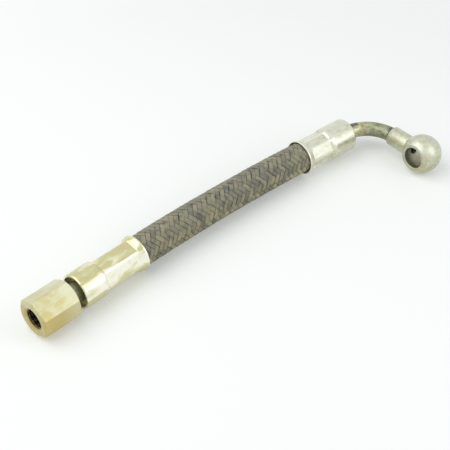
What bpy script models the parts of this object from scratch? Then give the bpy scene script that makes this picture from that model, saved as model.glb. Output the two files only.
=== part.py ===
"""Air compressor hose: a braided hose with a crimped fitting at each end.

One end is a hexagonal stem with a female thread. The other is a steel pipe, bent through a
right angle, with a ring eye brazed on its end. The hose runs from -X to +X, the eye lies
towards -Y, and the whole stands on z = 0. Lengths are in metres and angles in radians.
"""

import math

import bmesh
import bpy
from mathutils import Matrix, Vector

# Gap between two pieces that touch
CLEARANCE = 0.0003

# Hexagonal stem, measured along +X from its open mouth
HEX_ACROSS_FLATS = 0.0220
HEX_LENGTH = 0.0260
HEX_FACE_RADIUS = 0.0104
HEX_CHAMFER = math.radians(30.0)
HEX_TURN = math.radians(4.2)
THREAD_MAJOR_RADIUS = 0.0070
THREAD_MINOR_RADIUS = 0.0062
THREAD_DEPTH = 0.0150
THREAD_RELIEF_WIDTH = 0.0020
MOUTH_RADIUS = 0.0082
MOUTH_HALF_ANGLE = math.radians(60.0)
SEAT_HALF_ANGLE = math.radians(30.0)
STEM_BORE_RADIUS = 0.0034
NECK_RADIUS = 0.0062
NECK_FILLET = 0.0006
LOCK_GROOVE_RADIUS = 0.0054
COLLAR_WIDTH = 0.0016
TAIL_CREST_RADIUS = 0.0049
TAIL_ROOT_RADIUS = 0.0044
TAIL_LENGTH = 0.0330
TAIL_BARBS = 5

# Hose: a rubber tube under a textile braid, straight in the ferrules and bowed between them
HOSE_RADIUS = 0.01015
HOSE_BORE_RADIUS = 0.0052
TUBE_WALL = 0.0027
SQUEEZED_TUBE_WALL = 0.0014
HOSE_FREE_LENGTH = 0.1384
HOSE_TURN = math.radians(6.1)
BRAID_CARRIERS = 24
BRAID_PITCH = 0.00379
BRAID_RELIEF = 0.00045
BRAID_TUCK = 0.0010
STRAND_CREST_LENGTH = 0.56
STRAND_CREST_WIDTH = 0.50

# Both ferrules, where they grip the hose
DRUM_RADIUS = 0.01135
DRUM_WALL = 0.0016
RIM_RADIUS = 0.01175
RIM_WALL = 0.0006
RIM_WIDTH = 0.0010
FLARE_LENGTH = 0.0048
CRIMP_BORE_RADIUS = 0.0084
EDGE_ROUND = 0.0013

# Nut-end ferrule, with an open cup towards the hex
NUT_GAP = 0.0044
NUT_FERRULE_LENGTH = 0.0469
NUT_CRIMP_LENGTH = 0.0251
NUT_CRIMP_STEP = 0.0015
NUT_CRIMP_RADIUS = 0.0107
NUT_JAWS = 6
NUT_JAW_DEPTH = 0.0011
NUT_JAW_RIDGE = 0.0006
NUT_JAW_PHASE = math.radians(-70.0)
CUP_DEPTH = 0.0042
CUP_WALL = 0.0015
LOCK_FLANGE_WIDTH = 0.0022

# Eye-end ferrule, closed round the pipe
EYE_FERRULE_LENGTH = 0.0426
EYE_CRIMP_LENGTH = 0.0162
EYE_CRIMP_STEP = 0.0030
EYE_CRIMP_RADIUS = 0.01045
EYE_JAWS = 8
EYE_JAW_DEPTH = 0.00065
EYE_JAW_RIDGE = 0.0021
EYE_JAW_PHASE = math.radians(60.0)
END_WALL = 0.0022

# Pipe, from its barbed tail in the hose to the socket of the eye
PIPE_RADIUS = 0.0050
PIPE_WALL = 0.0010
PIPE_TAIL_LENGTH = 0.0300
PIPE_TAIL_BARBS = 4
BEAD_RADIUS = 0.0066
BEAD_WIDTH = 0.0022
PIPE_LEAD = 0.0020
BEND_RADIUS = 0.0220
BEND_ANGLE = math.radians(90.0)

# Ring eye
BALL_RADIUS = 0.0130
EYE_WIDTH = 0.0184
EYE_BORE_RADIUS = 0.0070
EYE_BORE_CHAMFER = 0.0004
EYE_ROLL = math.radians(-4.0)
EYE_NECK_RADIUS = 0.00665
EYE_NECK_REACH = 0.0267
EYE_NECK_CHAMFER = 0.0005
SOCKET_DEPTH = 0.0080
CROSS_HOLE_RADIUS = 0.0034
FILLET_LEG = 0.0008

# Fineness of the meshes
SIDES = 32
PIPE_SIDES = 18
TUBE_SIDES = 16
BALL_STEPS = 10
BEND_STEPS = 12
HOSE_STEPS = 6
SHARP_ANGLE = math.radians(28.0)

UP = Vector((0.0, 0.0, 1.0))
NUT_FERRULE_START = HEX_LENGTH + NUT_GAP
NUT_FERRULE_END = NUT_FERRULE_START + NUT_FERRULE_LENGTH
FLANGE_START = NUT_FERRULE_START + CUP_DEPTH
FLANGE_END = FLANGE_START + LOCK_FLANGE_WIDTH
STEM_SHOULDER = FLANGE_END + CLEARANCE + COLLAR_WIDTH
NUT_CRIMP_END = FLARE_LENGTH + NUT_CRIMP_LENGTH
EYE_CRIMP_END = FLARE_LENGTH + EYE_CRIMP_LENGTH
DRUM_BORE_RADIUS = DRUM_RADIUS - DRUM_WALL
RIM_BORE_RADIUS = RIM_RADIUS - RIM_WALL

# Length of hose inside each ferrule
NUT_TUCK = NUT_FERRULE_END - STEM_SHOULDER - CLEARANCE
EYE_TUCK = EYE_FERRULE_LENGTH - END_WALL - BEAD_WIDTH - 2 * CLEARANCE
HOSE_ROUTE = ((NUT_TUCK, 0.0), (HOSE_FREE_LENGTH, -HOSE_TURN), (EYE_TUCK, 0.0))

# The pipe's route starts at the tip of its tail
PIPE_START = EYE_TUCK - PIPE_TAIL_LENGTH
PIPE_STRAIGHT = EYE_FERRULE_LENGTH + PIPE_LEAD - PIPE_START
PIPE_BEND = BEND_RADIUS * BEND_ANGLE
PIPE_END = SOCKET_DEPTH - CLEARANCE
PIPE_ROUTE = ((PIPE_STRAIGHT, 0.0), (PIPE_BEND, -BEND_ANGLE), (PIPE_END, 0.0))
STRAIGHT_ROUTE = ((1.0, 0.0),)


def clear_scene():
    """Removes what the scene holds."""
    for thing in list(bpy.data.objects):
        bpy.data.objects.remove(thing)


def material(name, colour, metallic, roughness):
    """A Principled material of one colour."""
    made = bpy.data.materials.new(name)
    made.use_nodes = True
    shader = made.node_tree.nodes["Principled BSDF"]
    shader.inputs["Base Color"].default_value = (*colour, 1.0)
    shader.inputs["Metallic"].default_value = metallic
    shader.inputs["Roughness"].default_value = roughness
    made.diffuse_color = (*colour, 1.0)
    return made


def empty(name, parent, location=(0.0, 0.0, 0.0), heading=0.0):
    """A frame that pieces are parented to, turned about its upright axis."""
    made = bpy.data.objects.new(name, None)
    made.empty_display_size = 0.01
    made.parent = parent
    made.location = location
    made.rotation_euler = (0.0, 0.0, heading)
    bpy.context.scene.collection.objects.link(made)
    return made


def piece(name, bm, parent, finish=None, location=(0.0, 0.0, 0.0), turn=(0.0, 0.0, 0.0)):
    """Turns a bmesh into a named object, its faces outwards and its rounds smooth."""
    bmesh.ops.recalc_face_normals(bm, faces=bm.faces)
    mesh = bpy.data.meshes.new(name)
    bm.to_mesh(mesh)
    bm.free()
    shade(mesh)
    made = bpy.data.objects.new(name, mesh)
    made.parent = parent
    made.location = location
    made.rotation_euler = turn
    if finish:
        mesh.materials.append(finish)
    bpy.context.scene.collection.objects.link(made)
    return made


def shade(mesh):
    """Rounds are smooth, and edges between faces that meet at an angle stay sharp."""
    mesh.shade_smooth()
    mesh.set_sharp_from_angle(angle=SHARP_ANGLE)


def combine(target, guide, operation):
    """Cuts or joins a guide body with a Boolean, then takes the guide away."""
    step = target.modifiers.new(guide.name, "BOOLEAN")
    step.operation = operation
    step.object = guide
    graph = bpy.context.evaluated_depsgraph_get()
    blank = target.data
    target.data = bpy.data.meshes.new_from_object(target.evaluated_get(graph))
    target.modifiers.remove(step)
    bpy.data.meshes.remove(blank)
    bpy.data.objects.remove(guide)
    target.data.name = target.name
    shade(target.data)


def turned(outline, sides=SIDES):
    """A solid turned round X from (x, radius) points: a closed ring, or one from axis to axis."""
    bm = bmesh.new()
    points = [bm.verts.new((x, 0.0, radius)) for x, radius in outline]
    runs = list(zip(points, points[1:]))
    if outline[0][1] > 0.0:
        runs.append((points[-1], points[0]))
    edges = [bm.edges.new(run) for run in runs]
    bmesh.ops.spin(
        bm, geom=points + edges, cent=(0.0, 0.0, 0.0), axis=(1.0, 0.0, 0.0),
        angle=2 * math.pi, steps=sides, use_merge=True,
    )
    bmesh.ops.remove_doubles(bm, verts=bm.verts, dist=1e-7)
    return bm


def arc(centre, radius, start, end, steps):
    """Points of an arc in an outline, from the start angle to the end angle."""
    angles = [start + (end - start) * k / steps for k in range(steps + 1)]
    return [(centre[0] + radius * math.cos(a), centre[1] + radius * math.sin(a)) for a in angles]


def barbs(start, length, count):
    """Outline of saw-tooth barbs that rise steeply and fall slowly along +X."""
    step = length / count
    points = []
    for k in range(count):
        points.append((start + step * (k + 0.15), TAIL_ROOT_RADIUS))
        points.append((start + step * (k + 0.30), TAIL_CREST_RADIUS))
    points.append((start + length, TAIL_ROOT_RADIUS))
    return points


def route_point(route, distance):
    """Point and heading at a distance along a flat route of (length, turn) stretches."""
    x, y, heading = 0.0, 0.0, 0.0
    for length, turn in route:
        part = min(distance, length)
        if turn:
            radius = length / turn
            end = heading + part / radius
            x += radius * (math.sin(end) - math.sin(heading))
            y -= radius * (math.cos(end) - math.cos(heading))
            heading = end
        else:
            x += part * math.cos(heading)
            y += part * math.sin(heading)
        distance -= part
    return Vector((x, y, 0.0)), heading


def around(route, distance, radius, angle):
    """Point round a route, at an angle counted from straight up towards the right hand."""
    centre, heading = route_point(route, distance)
    right = Vector((math.sin(heading), -math.cos(heading), 0.0))
    return centre + radius * (math.cos(angle) * UP + math.sin(angle) * right)


def ring(bm, route, distance, radius, sides, phase=0.0):
    """A ring of vertices round a route."""
    step = 2 * math.pi / sides
    return [bm.verts.new(around(route, distance, radius, phase + k * step)) for k in range(sides)]


def skin(bm, rings):
    """Faces between each ring of vertices and the next."""
    for one, two in zip(rings, rings[1:]):
        for k in range(len(one)):
            after = (k + 1) % len(one)
            bm.faces.new((one[k], one[after], two[after], two[k]))


def swept(route, stations, sides, phase=0.0):
    """A closed tube along a route, from its (distance, radius) stations out and back."""
    bm = bmesh.new()
    rings = [ring(bm, route, distance, radius, sides, phase) for distance, radius in stations]
    skin(bm, rings + rings[:1])
    return bm


def spread(start, end, steps, radius):
    """Evenly spaced stations of one radius, without the first and the last."""
    return [(start + (end - start) * k / steps, radius) for k in range(1, steps)]


def hex_stem(parent, steel):
    """The turned stem: hex body, female thread, neck, locking groove and barbed tail."""
    blank_radius = HEX_ACROSS_FLATS / 2 / math.cos(math.pi / 6) + CLEARANCE
    chamfer = (blank_radius - HEX_FACE_RADIUS) * math.tan(HEX_CHAMFER)
    relief_end = THREAD_DEPTH + THREAD_RELIEF_WIDTH
    seat_end = relief_end + (THREAD_MAJOR_RADIUS - STEM_BORE_RADIUS) / math.tan(SEAT_HALF_ANGLE)
    thread_start = (MOUTH_RADIUS - THREAD_MINOR_RADIUS) / math.tan(MOUTH_HALF_ANGLE)
    outline = [
        (0.0, MOUTH_RADIUS),
        (0.0, HEX_FACE_RADIUS),
        (chamfer, blank_radius),
        (HEX_LENGTH - chamfer, blank_radius),
        (HEX_LENGTH, HEX_FACE_RADIUS),
        (HEX_LENGTH, NECK_RADIUS + NECK_FILLET),
        (HEX_LENGTH + NECK_FILLET, NECK_RADIUS),
        (FLANGE_START - CLEARANCE, NECK_RADIUS),
        (FLANGE_START - CLEARANCE, LOCK_GROOVE_RADIUS),
        (FLANGE_END + CLEARANCE, LOCK_GROOVE_RADIUS),
        (FLANGE_END + CLEARANCE, NECK_RADIUS),
        (STEM_SHOULDER, NECK_RADIUS),
        (STEM_SHOULDER, TAIL_ROOT_RADIUS),
    ]
    outline += barbs(STEM_SHOULDER, TAIL_LENGTH, TAIL_BARBS)
    outline += [
        (STEM_SHOULDER + TAIL_LENGTH, STEM_BORE_RADIUS),
        (seat_end, STEM_BORE_RADIUS),
        (relief_end, THREAD_MAJOR_RADIUS),
        (THREAD_DEPTH, THREAD_MAJOR_RADIUS),
        (THREAD_DEPTH, THREAD_MINOR_RADIUS),
        (thread_start, THREAD_MINOR_RADIUS),
    ]
    stem = piece("hex_stem", turned(outline), parent, steel)

    corner_radius = blank_radius - CLEARANCE
    ends = (-CLEARANCE, HEX_LENGTH + CLEARANCE)
    waste = bmesh.new()
    rings = [ring(waste, STRAIGHT_ROUTE, x, corner_radius, 6, HEX_TURN) for x in ends]
    rings += [ring(waste, STRAIGHT_ROUTE, x, 2 * corner_radius, 6, HEX_TURN) for x in ends[::-1]]
    skin(waste, rings + rings[:1])
    combine(stem, piece("wrench_flats", waste, parent), "DIFFERENCE")


def jaw_waste(jaws, phase, ridge, start, end, flat, outer):
    """What the crimping jaws press flat: a block with sloping ends for each jaw, ridges between."""
    bm = bmesh.new()
    half_width = flat * math.tan(math.pi / jaws) - ridge / 2
    slope = outer - flat
    side_view = ((start, flat), (end, flat), (end + slope, outer), (start - slope, outer))
    for k in range(jaws):
        turn = Matrix.Rotation(phase + k * 2 * math.pi / jaws, 3, "X")
        faces = []
        for y in (-half_width, half_width):
            faces.append([bm.verts.new(turn @ Vector((x, y, z))) for x, z in side_view])
            bm.faces.new(faces[-1])
        skin(bm, faces)
    return bm


def ferrule(name, parent, steel, length, crimp_end, crimp_step, crimp_radius, end_outline):
    """A turned sleeve, from its flared rim at x = 0 over the crimp to the drum and its end."""
    outline = [
        (0.0, RIM_BORE_RADIUS),
        (0.0, RIM_RADIUS - RIM_WALL / 3),
        (RIM_WALL / 3, RIM_RADIUS),
        (RIM_WIDTH, RIM_RADIUS),
        ((RIM_WIDTH + FLARE_LENGTH) / 2, (RIM_RADIUS + crimp_radius) / 2),
        (FLARE_LENGTH, crimp_radius),
        (crimp_end, crimp_radius),
        (crimp_end + crimp_step, DRUM_RADIUS),
    ]
    outline += arc((length - EDGE_ROUND, DRUM_RADIUS - EDGE_ROUND), EDGE_ROUND, math.pi / 2, 0.0, 4)
    outline += end_outline
    outline += [
        (crimp_end + crimp_step, DRUM_BORE_RADIUS),
        (crimp_end, CRIMP_BORE_RADIUS),
        (FLARE_LENGTH, CRIMP_BORE_RADIUS),
    ]
    return piece(name, turned(outline), parent, steel)


def crimp(sleeve, parent, jaws, phase, ridge, crimp_end, crimp_radius, depth):
    """Presses the jaws' flats into a ferrule."""
    flat = crimp_radius - depth
    outer = DRUM_RADIUS + depth
    waste = jaw_waste(jaws, phase, ridge, FLARE_LENGTH, crimp_end, flat, outer)
    combine(sleeve, piece(sleeve.name + "_jaws", waste, parent), "DIFFERENCE")


def nut_ferrule(parent, steel):
    """Ferrule at the hex: its front is an open cup behind a flange that locks in the stem."""
    lock_radius = LOCK_GROOVE_RADIUS + CLEARANCE
    cup_radius = DRUM_RADIUS - CUP_WALL
    flange = NUT_FERRULE_LENGTH - CUP_DEPTH
    end_outline = [
        (NUT_FERRULE_LENGTH, cup_radius),
        (flange, cup_radius),
        (flange, lock_radius),
        (flange - LOCK_FLANGE_WIDTH, lock_radius),
        (flange - LOCK_FLANGE_WIDTH, DRUM_BORE_RADIUS),
    ]
    sleeve = ferrule("nut_ferrule", parent, steel, NUT_FERRULE_LENGTH, NUT_CRIMP_END,
                     NUT_CRIMP_STEP, NUT_CRIMP_RADIUS, end_outline)
    crimp(sleeve, parent, NUT_JAWS, NUT_JAW_PHASE, NUT_JAW_RIDGE, NUT_CRIMP_END, NUT_CRIMP_RADIUS,
          NUT_JAW_DEPTH)


def eye_ferrule(parent, steel):
    """Ferrule at the eye end: its end wall closes round the pipe."""
    hole_radius = PIPE_RADIUS + CLEARANCE
    wall = EYE_FERRULE_LENGTH - END_WALL
    end_outline = [(EYE_FERRULE_LENGTH, hole_radius), (wall, hole_radius), (wall, DRUM_BORE_RADIUS)]
    sleeve = ferrule("eye_ferrule", parent, steel, EYE_FERRULE_LENGTH, EYE_CRIMP_END,
                     EYE_CRIMP_STEP, EYE_CRIMP_RADIUS, end_outline)
    crimp(sleeve, parent, EYE_JAWS, EYE_JAW_PHASE, EYE_JAW_RIDGE, EYE_CRIMP_END, EYE_CRIMP_RADIUS,
          EYE_JAW_DEPTH)


def gripped(in_drum, squeezed, free):
    """Stations of a hose layer in the nut ferrule, and those in the eye ferrule."""
    radii = (in_drum, in_drum, squeezed, squeezed, free)
    nut_depths = (NUT_TUCK, NUT_CRIMP_END + NUT_CRIMP_STEP + CLEARANCE, NUT_CRIMP_END + CLEARANCE,
                  FLARE_LENGTH + CLEARANCE, BRAID_TUCK)
    eye_depths = (EYE_TUCK, EYE_CRIMP_END + EYE_CRIMP_STEP + CLEARANCE, EYE_CRIMP_END + CLEARANCE,
                  FLARE_LENGTH + CLEARANCE, BRAID_TUCK)
    nut = [(NUT_TUCK - depth, radius) for depth, radius in zip(nut_depths, radii)]
    eye = [(NUT_TUCK + HOSE_FREE_LENGTH + depth, radius) for depth, radius in zip(eye_depths, radii)]
    return nut, eye[::-1]


def hose_layer(in_drum, squeezed, free):
    """Stations of a whole hose surface, from end to end."""
    nut, eye = gripped(in_drum, squeezed, free)
    return nut + spread(nut[-1][0], eye[0][0], HOSE_STEPS, free) + eye


def inner_tube(parent, rubber):
    """The rubber tube, squeezed where the ferrules are crimped."""
    outer_radius = HOSE_BORE_RADIUS + TUBE_WALL
    squeezed_radius = HOSE_BORE_RADIUS + SQUEEZED_TUBE_WALL
    outside = hose_layer(outer_radius, squeezed_radius, outer_radius)
    length = outside[-1][0]
    steps = HOSE_STEPS + 2
    bore = [(length, HOSE_BORE_RADIUS), *spread(length, 0.0, steps, HOSE_BORE_RADIUS),
            (0.0, HOSE_BORE_RADIUS)]
    tube = swept(HOSE_ROUTE, outside + bore, TUBE_SIDES, math.pi / TUBE_SIDES)
    piece("inner_tube", tube, parent, rubber)


class Braid:
    """Two-over-two braid as a lattice of strand floats round the hose.

    Each column of floats leans one way and the next leans the other. A column number counts
    half columns round the hose, a row number counts half pitches along it, and the corners
    of the floats are where column plus row is even.
    """

    def __init__(self, bm, start, end):
        self.bm = bm
        self.columns = BRAID_CARRIERS
        self.rows = round((end - start) / BRAID_PITCH) * 2
        self.start = start
        self.row_length = (end - start) / self.rows
        self.corners = {}

    def place(self, column, row, radius):
        """Point on the braid, in fractions of a column and a row."""
        angle = (column + 0.5) * 2 * math.pi / self.columns
        return around(HOSE_ROUTE, self.start + row * self.row_length, radius, angle)

    def corner(self, column, row):
        """The lattice vertex at the foot of the floats, made when it is first asked for."""
        key = (column % self.columns, row)
        if key not in self.corners:
            place = self.place(*key, HOSE_RADIUS - BRAID_RELIEF)
            self.corners[key] = self.bm.verts.new(place)
        return self.corners[key]

    def edge(self, row, inward):
        """The zigzag of corners at an end row."""
        return [self.corner(k, row if (k + row) % 2 == 0 else row + inward) for k in range(self.columns)]

    def flat_cell(self, column, row):
        """Half a float, left low where its other half is cut off."""
        sides = ((column - 1, row), (column, row - 1), (column + 1, row), (column, row + 1))
        self.bm.faces.new([self.corner(*side) for side in sides])

    def float_pillow(self, column, row, lean):
        """One float over two crossings, with a raised crest."""
        foot = [
            self.corner(column - 1, row), self.corner(column, row - lean),
            self.corner(column + 1, row), self.corner(column + 2, row + lean),
            self.corner(column + 1, row + 2 * lean), self.corner(column, row + lean),
        ]
        crest = []
        for run, side in ((-1, -1), (-1, 1), (1, 1), (1, -1)):
            step = 0.5 + run * STRAND_CREST_LENGTH
            across = side * STRAND_CREST_WIDTH / 2
            place = self.place(column + step + across, row + lean * (step - across), HOSE_RADIUS)
            crest.append(self.bm.verts.new(place))
        self.bm.faces.new(crest)
        for k, near, far in ((0, 0, 1), (3, 2, 3)):
            start, end, middle = foot[k], foot[k + 1], foot[k + 2]
            self.bm.faces.new((start, end, crest[far], crest[near]))
            self.bm.faces.new((end, middle, crest[far]))
            self.bm.faces.new((middle, crest[(far + 1) % 4], crest[far]))
            self.bm.faces.new((middle, foot[(k + 3) % 6], crest[(far + 1) % 4]))

    def weave(self):
        """Lays every column of floats."""
        for column in range(0, self.columns, 2):
            lean = 1 if column // 2 % 2 else -1
            for row in range(1, self.rows, 2):
                if 0 < row + lean < self.rows:
                    self.float_pillow(column, row, lean)
                else:
                    self.flat_cell(column, row)


def braided_cover(parent, textile):
    """The braid: raised strands between the rims, plain and squeezed inside the ferrules."""
    tube_radius = HOSE_BORE_RADIUS + TUBE_WALL + CLEARANCE
    squeezed_inside = HOSE_BORE_RADIUS + SQUEEZED_TUBE_WALL + CLEARANCE
    foot_radius = HOSE_RADIUS - BRAID_RELIEF
    nut, eye = gripped(DRUM_BORE_RADIUS - CLEARANCE, CRIMP_BORE_RADIUS - CLEARANCE, foot_radius)
    inside = hose_layer(tube_radius, squeezed_inside, tube_radius)[::-1]
    bm = bmesh.new()
    half_column = math.pi / BRAID_CARRIERS
    braid = Braid(bm, nut[-1][0], eye[0][0])
    braid.weave()

    def rings(stations):
        return [ring(bm, HOSE_ROUTE, at, radius, BRAID_CARRIERS, half_column) for at, radius in stations]

    nut_rings = rings(nut[:-1])
    eye_rings = rings(eye[1:])
    inner_rings = rings(inside)
    skin(bm, nut_rings + [braid.edge(0, 1)])
    skin(bm, [braid.edge(braid.rows, -1)] + eye_rings + inner_rings + nut_rings[:1])
    piece("braided_cover", bm, parent, textile)


def bent_pipe(parent, steel):
    """The pipe: barbed tail, locking bead behind the ferrule's end wall, bend and plain end."""
    bead_start = PIPE_TAIL_LENGTH + CLEARANCE
    bead_end = bead_start + BEAD_WIDTH
    bead_slope = BEAD_WIDTH / 4
    bend_start = PIPE_STRAIGHT
    bend_end = PIPE_STRAIGHT + PIPE_BEND
    end = bend_end + PIPE_END
    bore_radius = PIPE_RADIUS - PIPE_WALL
    tip = [(0.0, TAIL_ROOT_RADIUS)]
    outside = tip + barbs(0.0, PIPE_TAIL_LENGTH, PIPE_TAIL_BARBS)
    outside += [
        (bead_start, PIPE_RADIUS),
        (bead_start + bead_slope, BEAD_RADIUS),
        (bead_end - bead_slope, BEAD_RADIUS),
        (bead_end, PIPE_RADIUS),
        (bend_start, PIPE_RADIUS),
        *spread(bend_start, bend_end, BEND_STEPS, PIPE_RADIUS),
        (bend_end, PIPE_RADIUS),
        (end, PIPE_RADIUS),
    ]
    inside = [
        (end, bore_radius),
        (bend_end, bore_radius),
        *spread(bend_end, bend_start, BEND_STEPS // 2, bore_radius),
        (bend_start, bore_radius),
        (bead_end, bore_radius),
        (bead_start, STEM_BORE_RADIUS),
        (0.0, STEM_BORE_RADIUS),
    ]
    pipe = swept(PIPE_ROUTE, outside + inside, PIPE_SIDES)
    piece("bent_pipe", pipe, parent, steel, location=(PIPE_START, 0.0, 0.0))


def ring_eye(parent, steel):
    """The eye: a ball between two flat faces, bored across, with a drilled neck."""
    half_width = EYE_WIDTH / 2
    mouth_radius = EYE_BORE_RADIUS + EYE_BORE_CHAMFER
    bore_end = half_width - EYE_BORE_CHAMFER
    face_angle = math.acos(half_width / BALL_RADIUS)
    outline = [(-half_width, mouth_radius)]
    outline += arc((0.0, 0.0), BALL_RADIUS, math.pi - face_angle, face_angle, BALL_STEPS)
    outline += [(half_width, mouth_radius), (bore_end, EYE_BORE_RADIUS), (-bore_end, EYE_BORE_RADIUS)]
    place = {"location": (EYE_NECK_REACH, 0.0, 0.0), "turn": (0.0, -EYE_ROLL, math.pi / 2)}
    eye = piece("ring_eye", turned(outline), parent, steel, **place)

    root = (EYE_BORE_RADIUS + BALL_RADIUS) / 2
    neck_outline = [
        (root, 0.0),
        (root, EYE_NECK_RADIUS),
        (EYE_NECK_REACH - EYE_NECK_CHAMFER, EYE_NECK_RADIUS),
        (EYE_NECK_REACH, EYE_NECK_RADIUS - EYE_NECK_CHAMFER),
        (EYE_NECK_REACH, 0.0),
    ]
    drill_outline = [
        (EYE_BORE_RADIUS / 2, 0.0),
        (EYE_BORE_RADIUS / 2, CROSS_HOLE_RADIUS),
        (EYE_NECK_REACH - SOCKET_DEPTH, CROSS_HOLE_RADIUS),
        (EYE_NECK_REACH - SOCKET_DEPTH, PIPE_RADIUS + CLEARANCE),
        (EYE_NECK_REACH + SOCKET_DEPTH, PIPE_RADIUS + CLEARANCE),
        (EYE_NECK_REACH + SOCKET_DEPTH, 0.0),
    ]
    for name, guide, operation in (("eye_neck", neck_outline, "UNION"),
                                   ("eye_drill", drill_outline, "DIFFERENCE")):
        bm = turned(guide)
        bmesh.ops.rotate(bm, verts=bm.verts, matrix=Matrix.Rotation(math.pi / 2, 3, "Z"))
        combine(eye, piece(name, bm, parent, **place), operation)


def brazed_fillet(parent, braze):
    """The concave ring of brazing metal where the pipe enters the neck."""
    pipe_radius = PIPE_RADIUS + CLEARANCE
    centre = (-CLEARANCE - FILLET_LEG, pipe_radius + FILLET_LEG)
    outline = arc(centre, FILLET_LEG, -math.pi / 2, 0.0, 3)
    outline.append((-CLEARANCE, pipe_radius))
    piece("brazed_fillet", turned(outline, PIPE_SIDES), parent, braze)


def stand_on_floor(root):
    """Moves the whole so that the middle of its box's base is the origin."""
    bpy.context.view_layer.update()
    corners = []
    for thing in bpy.data.objects:
        if thing.type == "MESH":
            corners += [thing.matrix_world @ vertex.co for vertex in thing.data.vertices]
    low = [min(corner[k] for corner in corners) for k in range(3)]
    high = [max(corner[k] for corner in corners) for k in range(3)]
    root.location = (-(low[0] + high[0]) / 2, -(low[1] + high[1]) / 2, -low[2])


def main():
    """Builds the hose assembly."""
    clear_scene()
    yellow_steel = material("yellow_passivated_steel", (0.63, 0.60, 0.38), 0.9, 0.34)
    green_steel = material("green_passivated_steel", (0.58, 0.58, 0.44), 0.9, 0.36)
    dull_steel = material("dull_passivated_steel", (0.36, 0.35, 0.22), 0.85, 0.48)
    braze = material("brazing_metal", (0.20, 0.19, 0.15), 0.8, 0.55)
    rubber = material("black_rubber", (0.02, 0.02, 0.02), 0.0, 0.75)
    textile = material("dusty_textile_braid", (0.17, 0.165, 0.125), 0.0, 0.9)

    root = empty("hose_assembly", None)
    hex_stem(root, yellow_steel)
    hose_start = empty("hose_start", root, (STEM_SHOULDER + CLEARANCE, 0.0, 0.0))
    inner_tube(hose_start, rubber)
    braided_cover(hose_start, textile)

    nut_rim = empty("nut_rim", hose_start, (NUT_TUCK, 0.0, 0.0), math.pi)
    nut_ferrule(nut_rim, yellow_steel)

    rim_point, heading = route_point(HOSE_ROUTE, NUT_TUCK + HOSE_FREE_LENGTH)
    eye_rim = empty("eye_rim", hose_start, rim_point, heading)
    eye_ferrule(eye_rim, green_steel)
    bent_pipe(eye_rim, dull_steel)

    mouth_point, turn = route_point(PIPE_ROUTE, PIPE_STRAIGHT + PIPE_BEND)
    neck_mouth = empty("neck_mouth", eye_rim, mouth_point + Vector((PIPE_START, 0.0, 0.0)), turn)
    ring_eye(neck_mouth, green_steel)
    brazed_fillet(neck_mouth, braze)
    stand_on_floor(root)


main()
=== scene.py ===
"""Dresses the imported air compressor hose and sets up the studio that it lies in.

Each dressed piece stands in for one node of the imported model, at the same place and of the
same size, with finer forms and a procedural finish. Lengths are in metres unless a name says
otherwise, and angles are in radians.
"""

import logging
import math
from dataclasses import dataclass
from enum import Enum
from typing import Callable, Sequence

import bmesh
import bpy
import numpy as np
from bpy.types import Material, Mesh, Node, NodeSocket, NodeTree, Object
from mathutils import Matrix, Vector


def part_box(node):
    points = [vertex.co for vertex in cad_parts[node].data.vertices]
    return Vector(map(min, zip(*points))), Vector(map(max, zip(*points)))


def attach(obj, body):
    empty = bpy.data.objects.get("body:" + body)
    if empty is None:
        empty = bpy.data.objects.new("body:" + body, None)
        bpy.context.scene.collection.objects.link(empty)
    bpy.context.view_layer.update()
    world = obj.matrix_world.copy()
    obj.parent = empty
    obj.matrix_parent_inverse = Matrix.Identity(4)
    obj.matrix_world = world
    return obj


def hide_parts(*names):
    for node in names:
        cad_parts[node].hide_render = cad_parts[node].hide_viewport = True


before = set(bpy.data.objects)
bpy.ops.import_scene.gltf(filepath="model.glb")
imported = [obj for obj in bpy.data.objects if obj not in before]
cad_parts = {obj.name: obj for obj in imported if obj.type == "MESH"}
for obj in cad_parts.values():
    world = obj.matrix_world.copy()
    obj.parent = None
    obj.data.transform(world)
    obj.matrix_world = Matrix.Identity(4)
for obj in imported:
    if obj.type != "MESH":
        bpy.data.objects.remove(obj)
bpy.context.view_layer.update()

LOG = logging.getLogger("air_compressor_hose")

# Gap that the model keeps between two pieces that touch
CLEARANCE = 0.0003
# Names of the values that each mesh carries for its finish
UNBENT = "unbent_place"
# Painted shade in recesses, bores, holes and creases, and soot patches on the pipe
GRIME_AND_SHADE = "grime_and_shade"
WORN = "worn"
STRAND = "strand_place"
# Painted shade where the braid's strands dive under and meet
CREVICE_SHADE = "crevice_shade"
MM_PER_M = 1000.0
# Values between which most of a noise lies
NOISE_LOW, NOISE_HIGH = 0.3, 0.7
WHITE = (1.0, 1.0, 1.0, 1.0)
# Shift in millimetres after which a noise looks like another one
ASIDE_MM = (31.0, 17.0, 5.0)
# Slack for telling whether a point lies on a surface
TINY = 1e-6


class Slot(Enum):
    """Names of the material slots."""

    YELLOW = "yellow_plated_steel"
    GREEN = "green_plated_steel"
    DULL = "dull_plated_steel"
    BRAZE = "brazing_metal"
    RUBBER = "rubber_tube"
    TEXTILE = "textile_braid"


class Marks(Enum):
    """Which way the tool marks run, as a stretch of the pattern along the axis and across it."""

    AROUND = (1.0, 0.03)
    ALONG = (0.03, 1.0)


class FerruleEnd(Enum):
    """How a ferrule ends at its far side from the hose."""

    OPEN_CUP = "open cup"
    CLOSED = "closed round the pipe"


def linear(code: str) -> tuple[float, float, float, float]:
    """Turns an sRGB hex value to a linear colour.

    Args:
        code: A hash sign and six hex digits.

    Returns:
        Red, green, blue and a full alpha.
    """
    parts = [int(code[k:k + 2], 16) / 255 for k in (1, 3, 5)]
    return (*[p / 12.92 if p <= 0.04045 else ((p + 0.055) / 1.055) ** 2.4 for p in parts], 1.0)


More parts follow.
